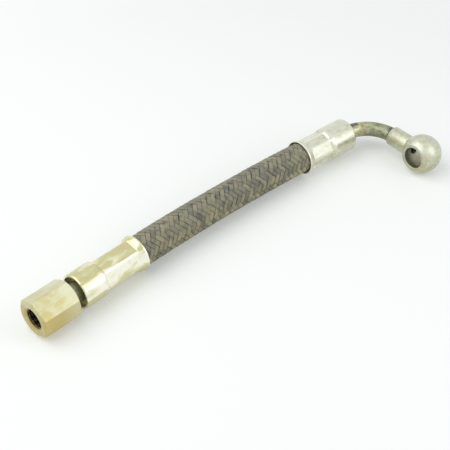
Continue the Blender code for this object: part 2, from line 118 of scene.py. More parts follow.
def set_inputs(tree: NodeTree, node: Node, inputs: dict) -> None:
    """Sets or links a node's inputs.

    Args:
        tree: The node tree that holds it.
        node: The node.
        inputs: For each input, by its name or its number among those in use: a value, an output to
            link from, or a node whose first output in use is linked.
    """
    in_use = [socket for socket in node.inputs if socket.enabled]
    by_name = {socket.name: socket for socket in reversed(in_use)}
    for key, value in inputs.items():
        target = by_name[key] if isinstance(key, str) else in_use[key]
        if isinstance(value, Node):
            value = next(socket for socket in value.outputs if socket.enabled)
        if isinstance(value, NodeSocket):
            tree.links.new(value, target)
        else:
            target.default_value = value


def add_node(
    tree: NodeTree, kind: str, inputs: dict | None = None, stops: Sequence = (), **settings: object
) -> Node:
    """Adds a shader node with its settings and links.

    Args:
        tree: The node tree that gets it.
        kind: The node's type, without its prefix.
        inputs: Its inputs, as set_inputs takes them.
        stops: For a colour ramp, its (position, colour) stops.
        **settings: Properties of the node.

    Returns:
        The node.
    """
    made = tree.nodes.new("ShaderNode" + kind)
    for key, value in settings.items():
        setattr(made, key, value)
    for number, (position, colour) in enumerate(stops):
        elements = made.color_ramp.elements
        stop = elements[number] if number < 2 else elements.new(position)
        stop.position = position
        stop.color = colour
    set_inputs(tree, made, inputs or {})
    return made


def unbent_mm(tree: NodeTree) -> Node:
    """Adds nodes that read where a point lies on its piece before bending, in millimetres.

    Args:
        tree: The node tree that gets them.

    Returns:
        The node that gives the place.
    """
    place = add_node(tree, "Attribute", attribute_name=UNBENT)
    return add_node(tree, "VectorMath", {0: place.outputs["Vector"], "Scale": MM_PER_M}, operation="SCALE")


@dataclass(frozen=True)
class Deposit:
    """A colour that lies over another in patches.

    A patch lies where a noise is high, or where it is low if full is below start.
    """

    colour: str
    # How much it covers in the middle of a patch
    share: float
    # Values of the noise at which a patch starts to show, and at which it is full
    start: float = 0.48
    full: float = 0.70

    def over(self, tree: NodeTree, base: Node, noise: Node) -> Node:
        """Adds nodes that lay it over a colour.

        Args:
            tree: The node tree that gets them.
            base: The node of the colour underneath.
            noise: The node whose value places the patches.

        Returns:
            The node of the mixed colour.
        """
        here = add_node(
            tree, "MapRange",
            {"Value": noise, "From Min": self.start, "From Max": self.full, "To Max": self.share},
            interpolation_type="SMOOTHSTEP",
        )
        return add_node(tree, "Mix", {"Factor": here, "A": base, "B": linear(self.colour)}, data_type="RGBA")


@dataclass(frozen=True)
class Finish:
    """A surface that nodes paint."""

    name: str

    def paint(self, tree: NodeTree, shader: Node) -> None:
        """Adds the finish's own nodes.

        Args:
            tree: The material's node tree.
            shader: The shader that they feed.
        """
        raise NotImplementedError

    def make(self) -> Material:
        """Makes the material.

        Returns:
            The material, painted.
        """
        made = bpy.data.materials.new(self.name)
        made.use_nodes = True
        self.paint(made.node_tree, made.node_tree.nodes["Principled BSDF"])
        return made


@dataclass(frozen=True)
class PassivatedZinc(Finish):
    """Zinc plating with a chromate passivation, dipped over turned or drawn steel.

    To the eye it is a satin metal. The film's thickness drifts, so its yellow turns to green
    and to pink in soft patches. Tool marks under it draw the highlights out. Painted shade
    darkens its recesses, bores and creases, with real soiling in a few places, and light and
    shade are painted into the film by height.
    """

    # Colours of the film from where it is thin to where it is thick
    films: tuple[str, ...]
    # The film's pink patches, and the dull stains of storage
    blush: Deposit
    stain: Deposit
    # Zinc that has been rubbed bare
    bare: str
    roughness: float
    marks: Marks
    # Painted light and shade: how much thicker the film is drawn at a height over the axis in
    # millimetres, so that it is paler where highlights fall and darker where shade falls
    sides: tuple[tuple[float, float], ...]
    # Width of the film's patches, how finely they are divided and their stretch along the axis
    patch_mm: float
    patch_detail: float = 3.0
    streak: float = 0.5
    # How far from the noise's middle value the first and the last film lie
    spread: float = 0.17
    # The greatest height over or under the axis that sides may name
    reach_mm: float = 14.0
    # Tool marks and the plating's grain, both finer on the real piece and drawn as coarse as they
    # need to show
    mark_mm: float = 0.28
    mark_height_mm: float = 0.006
    grain_mm: float = 0.45
    grain_height_mm: float = 0.008
    grain_tone: float = 0.07
    # The clear sealer lays a softer highlight over the metal's. Its IOR is above a lacquer's,
    # because it stands for the bright film too
    sealer: float = 1.0
    sealer_roughness: float = 0.25
    sealer_ior: float = 1.9
    # A little less than bare metal, because the film is half clear
    metallic: float = 0.92
    # Colour and roughness of the painted shade in recesses and creases, and of real soiling in patches
    grime_and_shade_colour: str = "#3A3320"
    grime_and_shade_roughness: float = 0.75

    def paint(self, tree: NodeTree, shader: Node) -> None:
        """Paints the film and what lies on it, and lays tool marks and grain in the surface.

        Args:
            tree: The material's node tree.
            shader: The shader that the nodes feed.
        """
        in_mm = unbent_mm(tree)
        aside = add_node(tree, "VectorMath", {0: in_mm, 1: ASIDE_MM}, operation="ADD")
        drawn_out = add_node(tree, "VectorMath", {0: in_mm, 1: (self.streak, 1.0, 1.0)}, operation="MULTIPLY")
        patches = add_node(
            tree, "TexNoise",
            {"Vector": drawn_out, "Scale": 1 / self.patch_mm, "Detail": self.patch_detail,
             "Roughness": 0.55, "Distortion": 0.5},
        )
        grain = add_node(
            tree, "TexNoise",
            {"Vector": in_mm, "Scale": 1 / self.grain_mm, "Detail": 3.0, "Roughness": 0.65},
        )
        spots = add_node(
            tree, "TexNoise",
            {"Vector": aside, "Scale": 2.2 / self.patch_mm, "Detail": 5.0, "Roughness": 0.7},
        )
        # How much painted shade and soiling the mesh marks here, broken up by the stains' noise
        grime_and_shade = add_node(tree, "Attribute", attribute_name=GRIME_AND_SHADE)
        broken = add_node(tree, "Math", {0: spots, 1: 0.5}, operation="ADD")
        grime_and_shade_amount = add_node(
            tree, "Math", {0: broken, 1: grime_and_shade.outputs["Fac"]}, operation="MULTIPLY", use_clamp=True,
        )
        drift = add_node(
            tree, "TexNoise",
            {"Vector": aside, "Scale": 0.8 / self.patch_mm, "Detail": 2.0, "Distortion": 0.6},
        )
        film = self.blush.over(tree, self.film(tree, in_mm, patches), drift)
        satin = add_node(
            tree, "MapRange",
            {"Value": patches, "From Min": NOISE_LOW, "From Max": NOISE_HIGH,
             "To Min": self.roughness + 0.05, "To Max": self.roughness - 0.05},
        )
        rough = add_node(tree, "MapRange", {"Value": grime_and_shade_amount, "To Min": satin, "To Max": self.grime_and_shade_roughness})
        set_inputs(tree, shader, {
            "Base Color": self.weathered_and_shaded(tree, film, grain, spots, grime_and_shade_amount),
            "Roughness": rough,
            "Normal": self.relief(tree, in_mm, grain),
            "Metallic": self.metallic,
            "Coat Weight": self.sealer,
            "Coat Roughness": self.sealer_roughness,
            "Coat IOR": self.sealer_ior,
        })

    def film(self, tree: NodeTree, in_mm: Node, patches: Node) -> Node:
        """Adds the film's colour, by its patches and by light and shade painted by height.

        Args:
            tree: The node tree that gets the nodes.
            in_mm: The node of the place in millimetres.
            patches: The noise of the film's patches.

        Returns:
            The node of the colour.
        """
        above = add_node(tree, "SeparateXYZ", {0: in_mm})
        height = add_node(
            tree, "MapRange",
            {"Value": above.outputs["Z"], "From Min": -self.reach_mm, "From Max": self.reach_mm},
        )
        # A ramp holds no value under 0, so it gives the shift plus a half
        # Light and shade painted by height over the axis, as a shift of the film's thickness
        height_light_and_shade = add_node(
            tree, "ValToRGB", {"Fac": height},
            stops=[
                (0.5 + level / self.reach_mm / 2, (0.5 + shift, 0.5 + shift, 0.5 + shift, 1.0))
                for level, shift in self.sides
            ],
        )
        height_light_and_shade.color_ramp.interpolation = "EASE"
        thickness = add_node(tree, "Math", {0: patches, 1: height_light_and_shade}, operation="ADD")
        halved = add_node(tree, "Math", {0: thickness, 1: 0.5}, operation="MULTIPLY")
        steps = np.linspace(1 - self.spread, 1 + self.spread, len(self.films)) / 2
        return add_node(
            tree, "ValToRGB", {"Fac": halved},
            stops=[(float(step), linear(code)) for step, code in zip(steps, self.films)],
        )

    def weathered_and_shaded(self, tree: NodeTree, film: Node, grain: Node, spots: Node, grime_and_shade_amount: Node) -> Node:
        """Adds grain, stains, rubbed places, and painted shade with some soiling, to the film's colour.

        Args:
            tree: The node tree that gets the nodes.
            film: The node of the film's colour.
            grain: The noise of the grain.
            spots: The noise of the stains.
            grime_and_shade_amount: The node that says how much painted shade and soiling there is.

        Returns:
            The node of the colour.
        """
        tone = add_node(
            tree, "MapRange",
            {"Value": grain, "From Min": NOISE_LOW, "From Max": NOISE_HIGH,
             "To Min": 1.0 - self.grain_tone, "To Max": 1.0 + self.grain_tone},
        )
        toned = add_node(
            tree, "Mix", {"Factor": 1.0, "A": film, "B": tone}, data_type="RGBA", blend_type="MULTIPLY",
        )
        stained = self.stain.over(tree, toned, spots)
        worn = add_node(tree, "Attribute", attribute_name=WORN)
        rubbed = add_node(tree, "Math", {0: worn.outputs["Fac"], 1: grain}, operation="MULTIPLY")
        bare = add_node(
            tree, "Mix", {"Factor": rubbed, "A": stained, "B": linear(self.bare)}, data_type="RGBA",
        )
        # Painted shade, with real soiling in a few places, takes the colour towards the dark one
        return add_node(tree, "Mix", {"Factor": grime_and_shade_amount, "A": bare, "B": linear(self.grime_and_shade_colour)}, data_type="RGBA")

    def relief(self, tree: NodeTree, in_mm: Node, grain: Node) -> Node:
        """Adds the relief of the tool marks and of the grain.

        Args:
            tree: The node tree that gets the nodes.
            in_mm: The node of the place in millimetres.
            grain: The noise of the grain.

        Returns:
            The node of the normal.
        """
        along, across = self.marks.value
        stretched = add_node(tree, "VectorMath", {0: in_mm, 1: (along, across, across)}, operation="MULTIPLY")
        marks = add_node(tree, "TexNoise", {"Vector": stretched, "Scale": 1 / self.mark_mm, "Detail": 2.0})
        marked = add_node(
            tree, "Bump", {"Height": marks, "Distance": self.mark_height_mm / MM_PER_M, "Strength": 1.0},
        )
        return add_node(
            tree, "Bump",
            {"Height": grain, "Distance": self.grain_height_mm / MM_PER_M, "Strength": 1.0, "Normal": marked},
        )


@dataclass(frozen=True)
class BrazingMetal(Finish):
    """Brass brazing metal, flowed into the joint and plated over with the rest.

    To the eye it is a dull, lumpy ring, darker than the pipe and stained by the heat.
    """

    metal: str = "#8F8A62"
    scale: str = "#33332F"
    lump_mm: float = 0.9
    lump_height_mm: float = 0.12
    # Roughness of the scale and of the metal between it
    roughness: tuple[float, float] = (0.7, 0.42)
    metallic: float = 0.85

    def paint(self, tree: NodeTree, shader: Node) -> None:
        """Paints the metal and its scale in lumps.

        Args:
            tree: The material's node tree.
            shader: The shader that the nodes feed.
        """
        lumps = add_node(
            tree, "TexNoise", {"Vector": unbent_mm(tree), "Scale": 1 / self.lump_mm, "Detail": 4.0},
        )
        colour = add_node(
            tree, "ValToRGB", {"Fac": lumps}, stops=[(0.42, linear(self.scale)), (0.66, linear(self.metal))],
        )
        rough = add_node(
            tree, "MapRange",
            {"Value": lumps, "From Min": NOISE_LOW, "From Max": NOISE_HIGH,
             "To Min": self.roughness[0], "To Max": self.roughness[1]},
        )
        lumpy = add_node(
            tree, "Bump", {"Height": lumps, "Distance": self.lump_height_mm / MM_PER_M, "Strength": 1.0},
        )
        set_inputs(tree, shader, {
            "Base Color": colour, "Roughness": rough, "Normal": lumpy, "Metallic": self.metallic,
        })


@dataclass(frozen=True)
class ExtrudedRubber(Finish):
    """Black extruded rubber, as on the hose's inner tube.

    To the eye it is matt black with faint lines along it and a grey bloom.
    """

    rubber: str = "#171717"
    bloom: str = "#2C2C2A"
    line_mm: float = 0.5
    # Width of a line over its length
    streak: float = 0.06
    # Roughness of the rubber and of its bloom
    roughness: tuple[float, float] = (0.65, 0.85)

    def paint(self, tree: NodeTree, shader: Node) -> None:
        """Paints the bloom in lines along the tube.

        Args:
            tree: The material's node tree.
            shader: The shader that the nodes feed.
        """
        place = add_node(tree, "TexCoord")
        lines = add_node(
            tree, "VectorMath",
            {0: place.outputs["Object"], 1: (self.streak * MM_PER_M, MM_PER_M, MM_PER_M)},
            operation="MULTIPLY",
        )
        bloom = add_node(tree, "TexNoise", {"Vector": lines, "Scale": 1 / self.line_mm, "Detail": 3.0})
        colour = add_node(
            tree, "ValToRGB", {"Fac": bloom}, stops=[(0.35, linear(self.rubber)), (0.75, linear(self.bloom))],
        )
        rough = add_node(
            tree, "MapRange", {"Value": bloom, "To Min": self.roughness[0], "To Max": self.roughness[1]},
        )
        set_inputs(tree, shader, {"Base Color": colour, "Roughness": rough})


@dataclass(frozen=True)
class TextileBraid(Finish):
    """Cotton braid soaked with rubber, plaited on the hose and dusty from storage.

    To the eye it is dry and matt, khaki where it is clean and grey where dust lies on it. Each
    strand is a band of twisted yarns, pale on its crest, with shade painted where it dives under,
    at its sides, between its yarns and in the gaps between strands.
    """

    # Colours of the single strands, and the painted shade of the gaps between them
    slate: str = "#6C726C"
    khaki: str = "#A8A281"
    straw: str = "#CAC098"
    gap_shade: str = "#45412F"
    dust: Deposit = Deposit("#969688", 0.6, 0.42, 0.86)
    soot: Deposit = Deposit("#555B58", 0.6, 0.50, 0.70)
    rust: Deposit = Deposit("#A98654", 0.5, 0.38, 0.28)
    patch_mm: float = 9.0
    # Heights over the axis between which the dust grows, and what they add to its noise
    dust_heights_mm: tuple[float, float] = (-6.0, 9.0)
    dust_shifts: tuple[float, float] = (-0.25, 0.42)
    # Turns of the yarns' twist, and the fibres, which are finer on the real braid and drawn as
    # coarse as they need to show
    twist_mm: float = 0.85
    twist_height_mm: float = 0.08
    fibre_mm: float = 0.16
    fibre_height_mm: float = 0.12
    # Width of a fibre over its length, and how far the noise moves on from strand to strand
    fibre_streak: float = 0.22
    strand_shift: float = 3.0
    # Tones of the darkest and the palest fibre, and of the thinnest and the thickest shade
    fibre_tones: tuple[float, float] = (0.62, 1.32)
    shades: tuple[float, float] = (0.75, 1.2)
    roughness: tuple[float, float] = (0.82, 0.96)

    def paint(self, tree: NodeTree, shader: Node) -> None:
        """Paints strands, dust and soot, and raises the yarns and their fibres.

        Args:
            tree: The material's node tree.
            shader: The shader that the nodes feed.
        """
        in_mm = unbent_mm(tree)
        strand = add_node(tree, "Attribute", attribute_name=STRAND).outputs["Vector"]
        blots = add_node(
            tree, "TexNoise", {"Vector": in_mm, "Scale": 2.1 / self.patch_mm, "Detail": 5.0},
        )
        drawn_out = add_node(
            tree, "VectorMath", {0: strand, 1: (self.fibre_streak, 1.0, self.strand_shift)},
            operation="MULTIPLY",
        )
        fibres = add_node(
            tree, "TexNoise", {"Vector": drawn_out, "Scale": 1 / self.fibre_mm, "Detail": 2.0},
        )
        soiled = self.soiled(tree, in_mm, strand, blots)
        fibre_tone = add_node(
            tree, "MapRange",
            {"Value": fibres, "From Min": 0.25, "From Max": 0.75,
             "To Min": self.fibre_tones[0], "To Max": self.fibre_tones[1]},
        )
        fibrous = add_node(
            tree, "Mix", {"Factor": 1.0, "A": soiled, "B": fibre_tone}, data_type="RGBA",
            blend_type="MULTIPLY",
        )
        # Painted shade at the floats' ends and sides, in their grooves and in the gaps, made uneven by the
        # blots
        crevice_shade = add_node(tree, "Attribute", attribute_name=CREVICE_SHADE)
        uneven = add_node(
            tree, "MapRange",
            {"Value": blots, "From Min": NOISE_LOW, "From Max": NOISE_HIGH,
             "To Min": self.shades[0], "To Max": self.shades[1]},
        )
        shade = add_node(
            tree, "Math", {0: crevice_shade.outputs["Fac"], 1: uneven}, operation="MULTIPLY", use_clamp=True,
        )
        colour = add_node(
            tree, "Mix", {"Factor": shade, "A": fibrous, "B": linear(self.gap_shade)}, data_type="RGBA",
        )
        rough = add_node(
            tree, "MapRange", {"Value": fibres, "To Min": self.roughness[0], "To Max": self.roughness[1]},
        )
        set_inputs(tree, shader, {
            "Base Color": colour,
            "Roughness": rough,
            "Normal": self.relief(tree, strand, fibres),
            "Specular IOR Level": 0.3,
            "Sheen Weight": 0.12,
            "Sheen Roughness": 0.6,
        })

    def soiled(self, tree: NodeTree, in_mm: Node, strand: NodeSocket, blots: Node) -> Node:
        """Adds the strands' own colours, with dust, soot and rust over them.

        Args:
            tree: The node tree that gets the nodes.
            in_mm: The node of the place in millimetres.
            strand: The place on the strand, with the strand's number as its third value.
            blots: The noise of the soot and the rust.

        Returns:
            The node of the colour.
        """
        parts = add_node(tree, "SeparateXYZ", {0: strand})
        one_each = add_node(tree, "TexWhiteNoise", {"W": parts.outputs["Z"]}, noise_dimensions="1D")
        clean = add_node(
            tree, "ValToRGB", {"Fac": one_each},
            stops=[(0.0, linear(self.slate)), (0.35, linear(self.khaki)), (1.0, linear(self.straw))],
        )
        patches = add_node(
            tree, "TexNoise",
            {"Vector": in_mm, "Scale": 1 / self.patch_mm, "Detail": 4.0, "Roughness": 0.6},
        )
        above = add_node(tree, "SeparateXYZ", {0: in_mm})
        (low, high), (least, most) = self.dust_heights_mm, self.dust_shifts
        height = add_node(
            tree, "MapRange",
            {"Value": above.outputs["Z"], "From Min": low, "From Max": high, "To Min": least, "To Max": most},
        )
        settled = add_node(tree, "Math", {0: height, 1: patches}, operation="ADD")
        colour = self.dust.over(tree, clean, settled)
        colour = self.soot.over(tree, colour, blots)
        return self.rust.over(tree, colour, blots)

    def relief(self, tree: NodeTree, strand: NodeSocket, fibres: Node) -> Node:
        """Adds the relief of the yarns' twist and of the fibres.

        Args:
            tree: The node tree that gets the nodes.
            strand: The place on the strand.
            fibres: The noise of the fibres.

        Returns:
            The node of the normal.
        """
        twist = add_node(
            tree, "TexWave", {"Vector": strand, "Scale": 0.5 / self.twist_mm, "Distortion": 0.6},
            wave_type="BANDS", bands_direction="DIAGONAL",
        )
        twisted = add_node(
            tree, "Bump",
            {"Height": twist.outputs["Fac"], "Distance": self.twist_height_mm / MM_PER_M, "Strength": 0.7},
        )
        return add_node(
            tree, "Bump",
            {"Height": fibres, "Distance": self.fibre_height_mm / MM_PER_M, "Strength": 0.8,
             "Normal": twisted},
        )


@dataclass(frozen=True)
class Finishes:
    """The finishes of this hose."""

    # Each finish's sides paint light and shade into its film by height over the axis
    yellow: PassivatedZinc = PassivatedZinc(
        "passivated_zinc_yellow", films=("#D4D4B4", "#D2D0A4", "#CBC48A", "#C9B56A"),
        blush=Deposit("#C9B67A", 0.10), stain=Deposit("#9A9058", 0.08, 0.56, 0.74), bare="#E6E8CE",
        roughness=0.42, marks=Marks.ALONG, patch_mm=4.6, patch_detail=2.0, spread=0.26,
        sides=((4.6, 0.26), (6.4, -0.02)), sealer=0.6, grime_and_shade_colour="#2F2408",
    )
    # Its pale middle films and its sides paint the lamp's highlight band on the nut sleeve's front
    yellow_turned: PassivatedZinc = PassivatedZinc(
        "passivated_zinc_yellow_turned", films=("#F7F4E2", "#F2EED2", "#E0DEAE", "#CACB92", "#CCC48A"),
        blush=Deposit("#CFBA8C", 0.22), stain=Deposit("#C2CAC2", 0.6, 0.56, 0.74), bare="#F6F4E8",
        roughness=0.31, marks=Marks.AROUND, patch_mm=4.4, patch_detail=1.5, streak=0.35,
        sides=((-3.5, 0.20), (3.0, -0.12), (6.0, -0.18), (9.5, 0.12)), grain_tone=0.04, grime_and_shade_colour="#382C14",
    )
    green: PassivatedZinc = PassivatedZinc(
        "passivated_zinc_green", films=("#D4DFCA", "#D9DFCC", "#D8D9C0", "#C9C6A4"),
        blush=Deposit("#CDB8A8", 0.4), stain=Deposit("#9A9A80", 0.25, 0.56, 0.74), bare="#F2F2E4",
        roughness=0.32, marks=Marks.AROUND, patch_mm=2.8,
        sides=((1.0, 0.13), (4.5, -0.03), (8.0, -0.03), (10.0, 0.02)), grain_tone=0.11,
    )
    eye: PassivatedZinc = PassivatedZinc(
        "passivated_zinc_eye", films=("#CACFBE", "#C7CBB5", "#C0C1A2", "#B6B188"),
        blush=Deposit("#BFB09C", 0.25), stain=Deposit("#74745A", 0.4, 0.56, 0.74), bare="#D6D7C2",
        roughness=0.50, marks=Marks.AROUND, patch_mm=3.2, streak=1.0, mark_height_mm=0.003,
        grain_height_mm=0.014, grain_tone=0.12, sides=((-6.0, 0.13), (3.0, 0.02), (9.0, -0.05)), sealer=0.7,
    )
    dull: PassivatedZinc = PassivatedZinc(
        "passivated_zinc_dull", films=("#CEE4A8", "#C8CEA0", "#B2B084", "#928B62"),
        blush=Deposit("#9A8660", 0.35), stain=Deposit("#565A48", 0.6, 0.56, 0.74), bare="#C9C9A8",
        roughness=0.48, marks=Marks.ALONG, patch_mm=2.4, grain_height_mm=0.014, grain_tone=0.13,
        sides=((-2.5, 0.15), (2.5, 0.0)), sealer=0.7, grime_and_shade_colour="#39433B",
    )
    braze: BrazingMetal = BrazingMetal("brazing_metal")
    rubber: ExtrudedRubber = ExtrudedRubber("extruded_rubber")
    textile: TextileBraid = TextileBraid("textile_braid")


@dataclass(frozen=True)
class Route:
    """A flat route from its own origin along +X, in (length, turn) stretches."""

    stretches: tuple[tuple[float, float], ...] = ((1.0, 0.0),)

    def follow(self, distances: np.ndarray) -> tuple[np.ndarray, np.ndarray]:
        """Finds places along the route.

        Args:
            distances: How far along it each place is.

        Returns:
            The points, and the route's heading at each.
        """
        left = np.array(distances, float)
        x, y, heading = np.zeros((3, len(left)))
        for length, turn in self.stretches:
            part = np.minimum(left, length)
            if turn:
                radius = length / turn
                end = heading + part / radius
                x += radius * (np.sin(end) - np.sin(heading))
                y -= radius * (np.cos(end) - np.cos(heading))
                heading = end
            else:
                x += part * np.cos(heading)
                y += part * np.sin(heading)
            left = left - part
        return np.stack((x, y, np.zeros_like(x)), axis=-1), heading

    def around(self, distances: np.ndarray, radii: np.ndarray, angles: np.ndarray) -> np.ndarray:
        """Finds points round the route.

        Args:
            distances: How far along it each point is.
            radii: How far from it each point is.
            angles: The turn of each point from straight up towards the right hand.

        Returns:
            The points, in an array of the arguments' shape with a last axis of three.
        """
        centres, headings = self.follow(distances.ravel())
        headings = headings.reshape(distances.shape)
        right = np.stack((np.sin(headings), -np.cos(headings), np.zeros_like(headings)), axis=-1)
        up = np.array((0.0, 0.0, 1.0))
        swing = np.cos(angles)[..., None] * up + np.sin(angles)[..., None] * right
        return centres.reshape(*distances.shape, 3) + radii[..., None] * swing

    def place(self, distance: float) -> Matrix:
        """The frame at a distance along the route, its X axis ahead and its Z axis up."""
        points, headings = self.follow(np.array([distance]))
        return Matrix.Translation(Vector(points[0])) @ Matrix.Rotation(float(headings[0]), 4, "Z")


def round_axis(x: np.ndarray, radius: np.ndarray, turn: np.ndarray) -> np.ndarray:
    """Finds points round the X axis.

    Args:
        x: The place of each point along the axis.
        radius: How far from it each point is.
        turn: The turn of each point from straight up.

    Returns:
        The points, in an array of the arguments' shape with a last axis of three.
    """
    return np.stack((x, -radius * np.sin(turn), radius * np.cos(turn)), axis=-1)


def gentle_least(one: np.ndarray, other: np.ndarray, blend: float) -> np.ndarray:
    """The lesser of two radii, with the edge where they cross rounded off.

    Args:
        one: Radii of the first surface.
        other: Radii of the second surface.
        blend: The difference between them at which the rounding starts.

    Returns:
        The radii of the common body.
    """
    near = np.clip(1 - np.abs(one - other) / blend, 0, 1)
    return np.minimum(one, other) - near * near * blend / 4


def softened(outline: Sequence[tuple[float, float, float]], steps: int = 4) -> list[tuple[float, float]]:
    """Rounds the corners of an outline.

    Args:
        outline: (x, radius, ease) points, where ease is how far from the corner its rounding starts.
        steps: How many pieces each rounded corner has.

    Returns:
        (x, radius) points.
    """
    points = []
    for k, (x, radius, ease) in enumerate(outline):
        if ease == 0 or k in (0, len(outline) - 1):
            points.append((x, radius))
            continue
        corner = Vector((x, radius))
        before = Vector(outline[k - 1][:2]) - corner
        after = Vector(outline[k + 1][:2]) - corner
        start = corner + before * min(0.45, ease / before.length)
        end = corner + after * min(0.45, ease / after.length)
        for step in range(steps + 1):
            t = step / steps
            points.append(tuple((1 - t) ** 2 * start + 2 * t * (1 - t) * corner + t * t * end))
    return points


def divided(outline: Sequence[tuple[float, float]], longest: float) -> np.ndarray:
    """Splits an outline's long runs.

    Args:
        outline: (x, radius) points.
        longest: The greatest length that a run may have.

    Returns:
        (x, radius) points, as an array.
    """
    points = [np.array(outline[0])]
    for one, two in zip(outline, outline[1:]):
        one, two = np.array(one), np.array(two)
        count = max(1, math.ceil(np.linalg.norm(two - one) / longest))
        points += [one + (two - one) * k / count for k in range(1, count + 1)]
    return np.array(points)


def barbed(start: float, length: float, count: int, root: float, crest: float) -> list[tuple[float, float]]:
    """Makes the outline of a barbed tail, whose barbs rise steeply and fall slowly.

    Args:
        start: Where the tail starts along the axis.
        length: Its length.
        count: How many barbs it has.
        root: Its radius at the barbs' feet.
        crest: Its radius at their edges.

    Returns:
        (x, radius) points.
    """
    foot, edge = 0.15, 0.30
    step = length / count
    points = []
    for k in range(count):
        points += [(start + step * (k + foot), root), (start + step * (k + edge), crest)]
    return points + [(start + length, root)]


def ring_faces(rings: int, sides: int, closed: bool) -> np.ndarray:
    """Faces of a skin over rings of vertices.

    Args:
        rings: How many rings there are.
        sides: How many vertices a ring has.
        closed: Whether the last ring joins the first.

    Returns:
        Four vertex numbers a face.
    """
    grid = np.arange(rings * sides).reshape(rings, sides)
    ahead = np.roll(grid, -1, axis=0)
    if not closed:
        grid, ahead = grid[:-1], ahead[:-1]
    faces = (grid, np.roll(grid, -1, axis=1), np.roll(ahead, -1, axis=1), ahead)
    return np.stack(faces, axis=-1).reshape(-1, 4)


def patch_faces(patches: int, rows: int, columns: int) -> np.ndarray:
    """Faces of separate patches of vertices.

    Args:
        patches: How many patches there are.
        rows: How many rows of vertices a patch has.
        columns: How many vertices a row has.

    Returns:
        Four vertex numbers a face.
    """
    grid = np.arange(patches * rows * columns).reshape(patches, rows, columns)
    faces = (grid[:, :-1, :-1], grid[:, :-1, 1:], grid[:, 1:, 1:], grid[:, 1:, :-1])
    return np.stack(faces, axis=-1).reshape(-1, 4)


def make_mesh(
    name: str, points: np.ndarray, faces: np.ndarray, values: dict[str, np.ndarray], sharp: float
) -> Mesh:
    """Makes a smooth mesh that carries values for its finish.

    Args:
        name: The mesh's name.
        points: Its vertices, in an array whose last axis is three long.
        faces: Its faces, by vertex number, all turned the same way.
        values: For each value's name, a number or a vector a vertex.
        sharp: The angle in degrees over which an edge stays sharp.

    Returns:
        The mesh, its faces outwards.
    """
    corners = points.reshape(-1, 3)
    a, b, c, d = (corners[faces[:, k]] for k in range(4))
    volume = np.einsum("ij,ij->i", a, np.cross(b, c) + np.cross(c, d)).sum()
    if volume < 0:
        faces = faces[:, ::-1]
    mesh = bpy.data.meshes.new(name)
    mesh.from_pydata(corners, [], faces)
    for key, value in values.items():
        if value.size == corners.size:
            mesh.attributes.new(key, "FLOAT_VECTOR", "POINT").data.foreach_set("vector", value.ravel())
        else:
            mesh.attributes.new(key, "FLOAT", "POINT").data.foreach_set("value", value.ravel())
    mesh.shade_smooth()
    mesh.set_sharp_from_angle(angle=math.radians(sharp))
    return mesh


def add_piece(name: str, mesh: Mesh, finish: Material, place: Matrix, node: str) -> Object:
    """Puts a piece in the scene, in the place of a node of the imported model.

    Args:
        name: The piece's name.
        mesh: Its mesh.
        finish: Its material.
        place: Its frame.
        node: The node that it stands for.

    Returns:
        The piece.
    """
    mesh.materials.clear()
    mesh.materials.append(finish)
    made = bpy.data.objects.new(name, mesh)
    made.matrix_world = place
    bpy.context.scene.collection.objects.link(made)
    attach(made, "root")
    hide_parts(node)
    LOG.info("%s stands for %s, with %d faces", name, node, len(mesh.polygons))
    return made


@dataclass(frozen=True)
class Turning:
    """A body turned round X, pressed or milled by a limit on its radius."""

    outline: np.ndarray
    angles: np.ndarray
    limit: Callable[[np.ndarray, np.ndarray], np.ndarray] | None = None
    bore: Callable[[np.ndarray, np.ndarray, np.ndarray], np.ndarray] | None = None
    blend: float = 0.00025

    def points(self) -> np.ndarray:
        """Finds the body's vertices.

        Returns:
            The vertices, in an array of rings by sides by three.
        """
        x, turn = np.meshgrid(self.outline[:, 0], self.angles, indexing="ij")
        radius = np.repeat(self.outline[:, 1:2], len(self.angles), axis=1)
        if self.limit:
            radius = gentle_least(radius, self.limit(x, turn), self.blend)
        if self.bore:
            radius = self.bore(x, turn, radius)
        return round_axis(x, radius, turn)

    def mesh(self, name: str, values: dict[str, np.ndarray], sharp: float = 30.0) -> Mesh:
        """Makes the mesh of a body whose outline is a closed ring.

        Args:
            name: The mesh's name.
            values: For each value's name, a number for each point of the outline, or for each vertex.
            sharp: The angle in degrees over which an edge stays sharp.

        Returns:
            The mesh.
        """
        points = self.points()
        carried = {
            key: value if value.ndim == 2 else np.repeat(value[:, None], len(self.angles), axis=1)
            for key, value in values.items()
        }
        carried[UNBENT] = points
        return make_mesh(name, points, ring_faces(*points.shape[:2], closed=True), carried, sharp)


def corner_angles(corners: int, phase: float, fine: Sequence[float]) -> np.ndarray:
    """Angles round a body with corners, close together near each corner.

    Args:
        corners: How many corners there are.
        phase: The angle of the first.
        fine: Offsets from a corner in degrees, rising from 0 to half a side.

    Returns:
        The angles.
    """
    offsets = sorted({*fine, *(-offset for offset in fine[1:-1])})
    first = phase + np.radians(offsets)
    return np.concatenate([first + 2 * math.pi * k / corners for k in range(corners)])


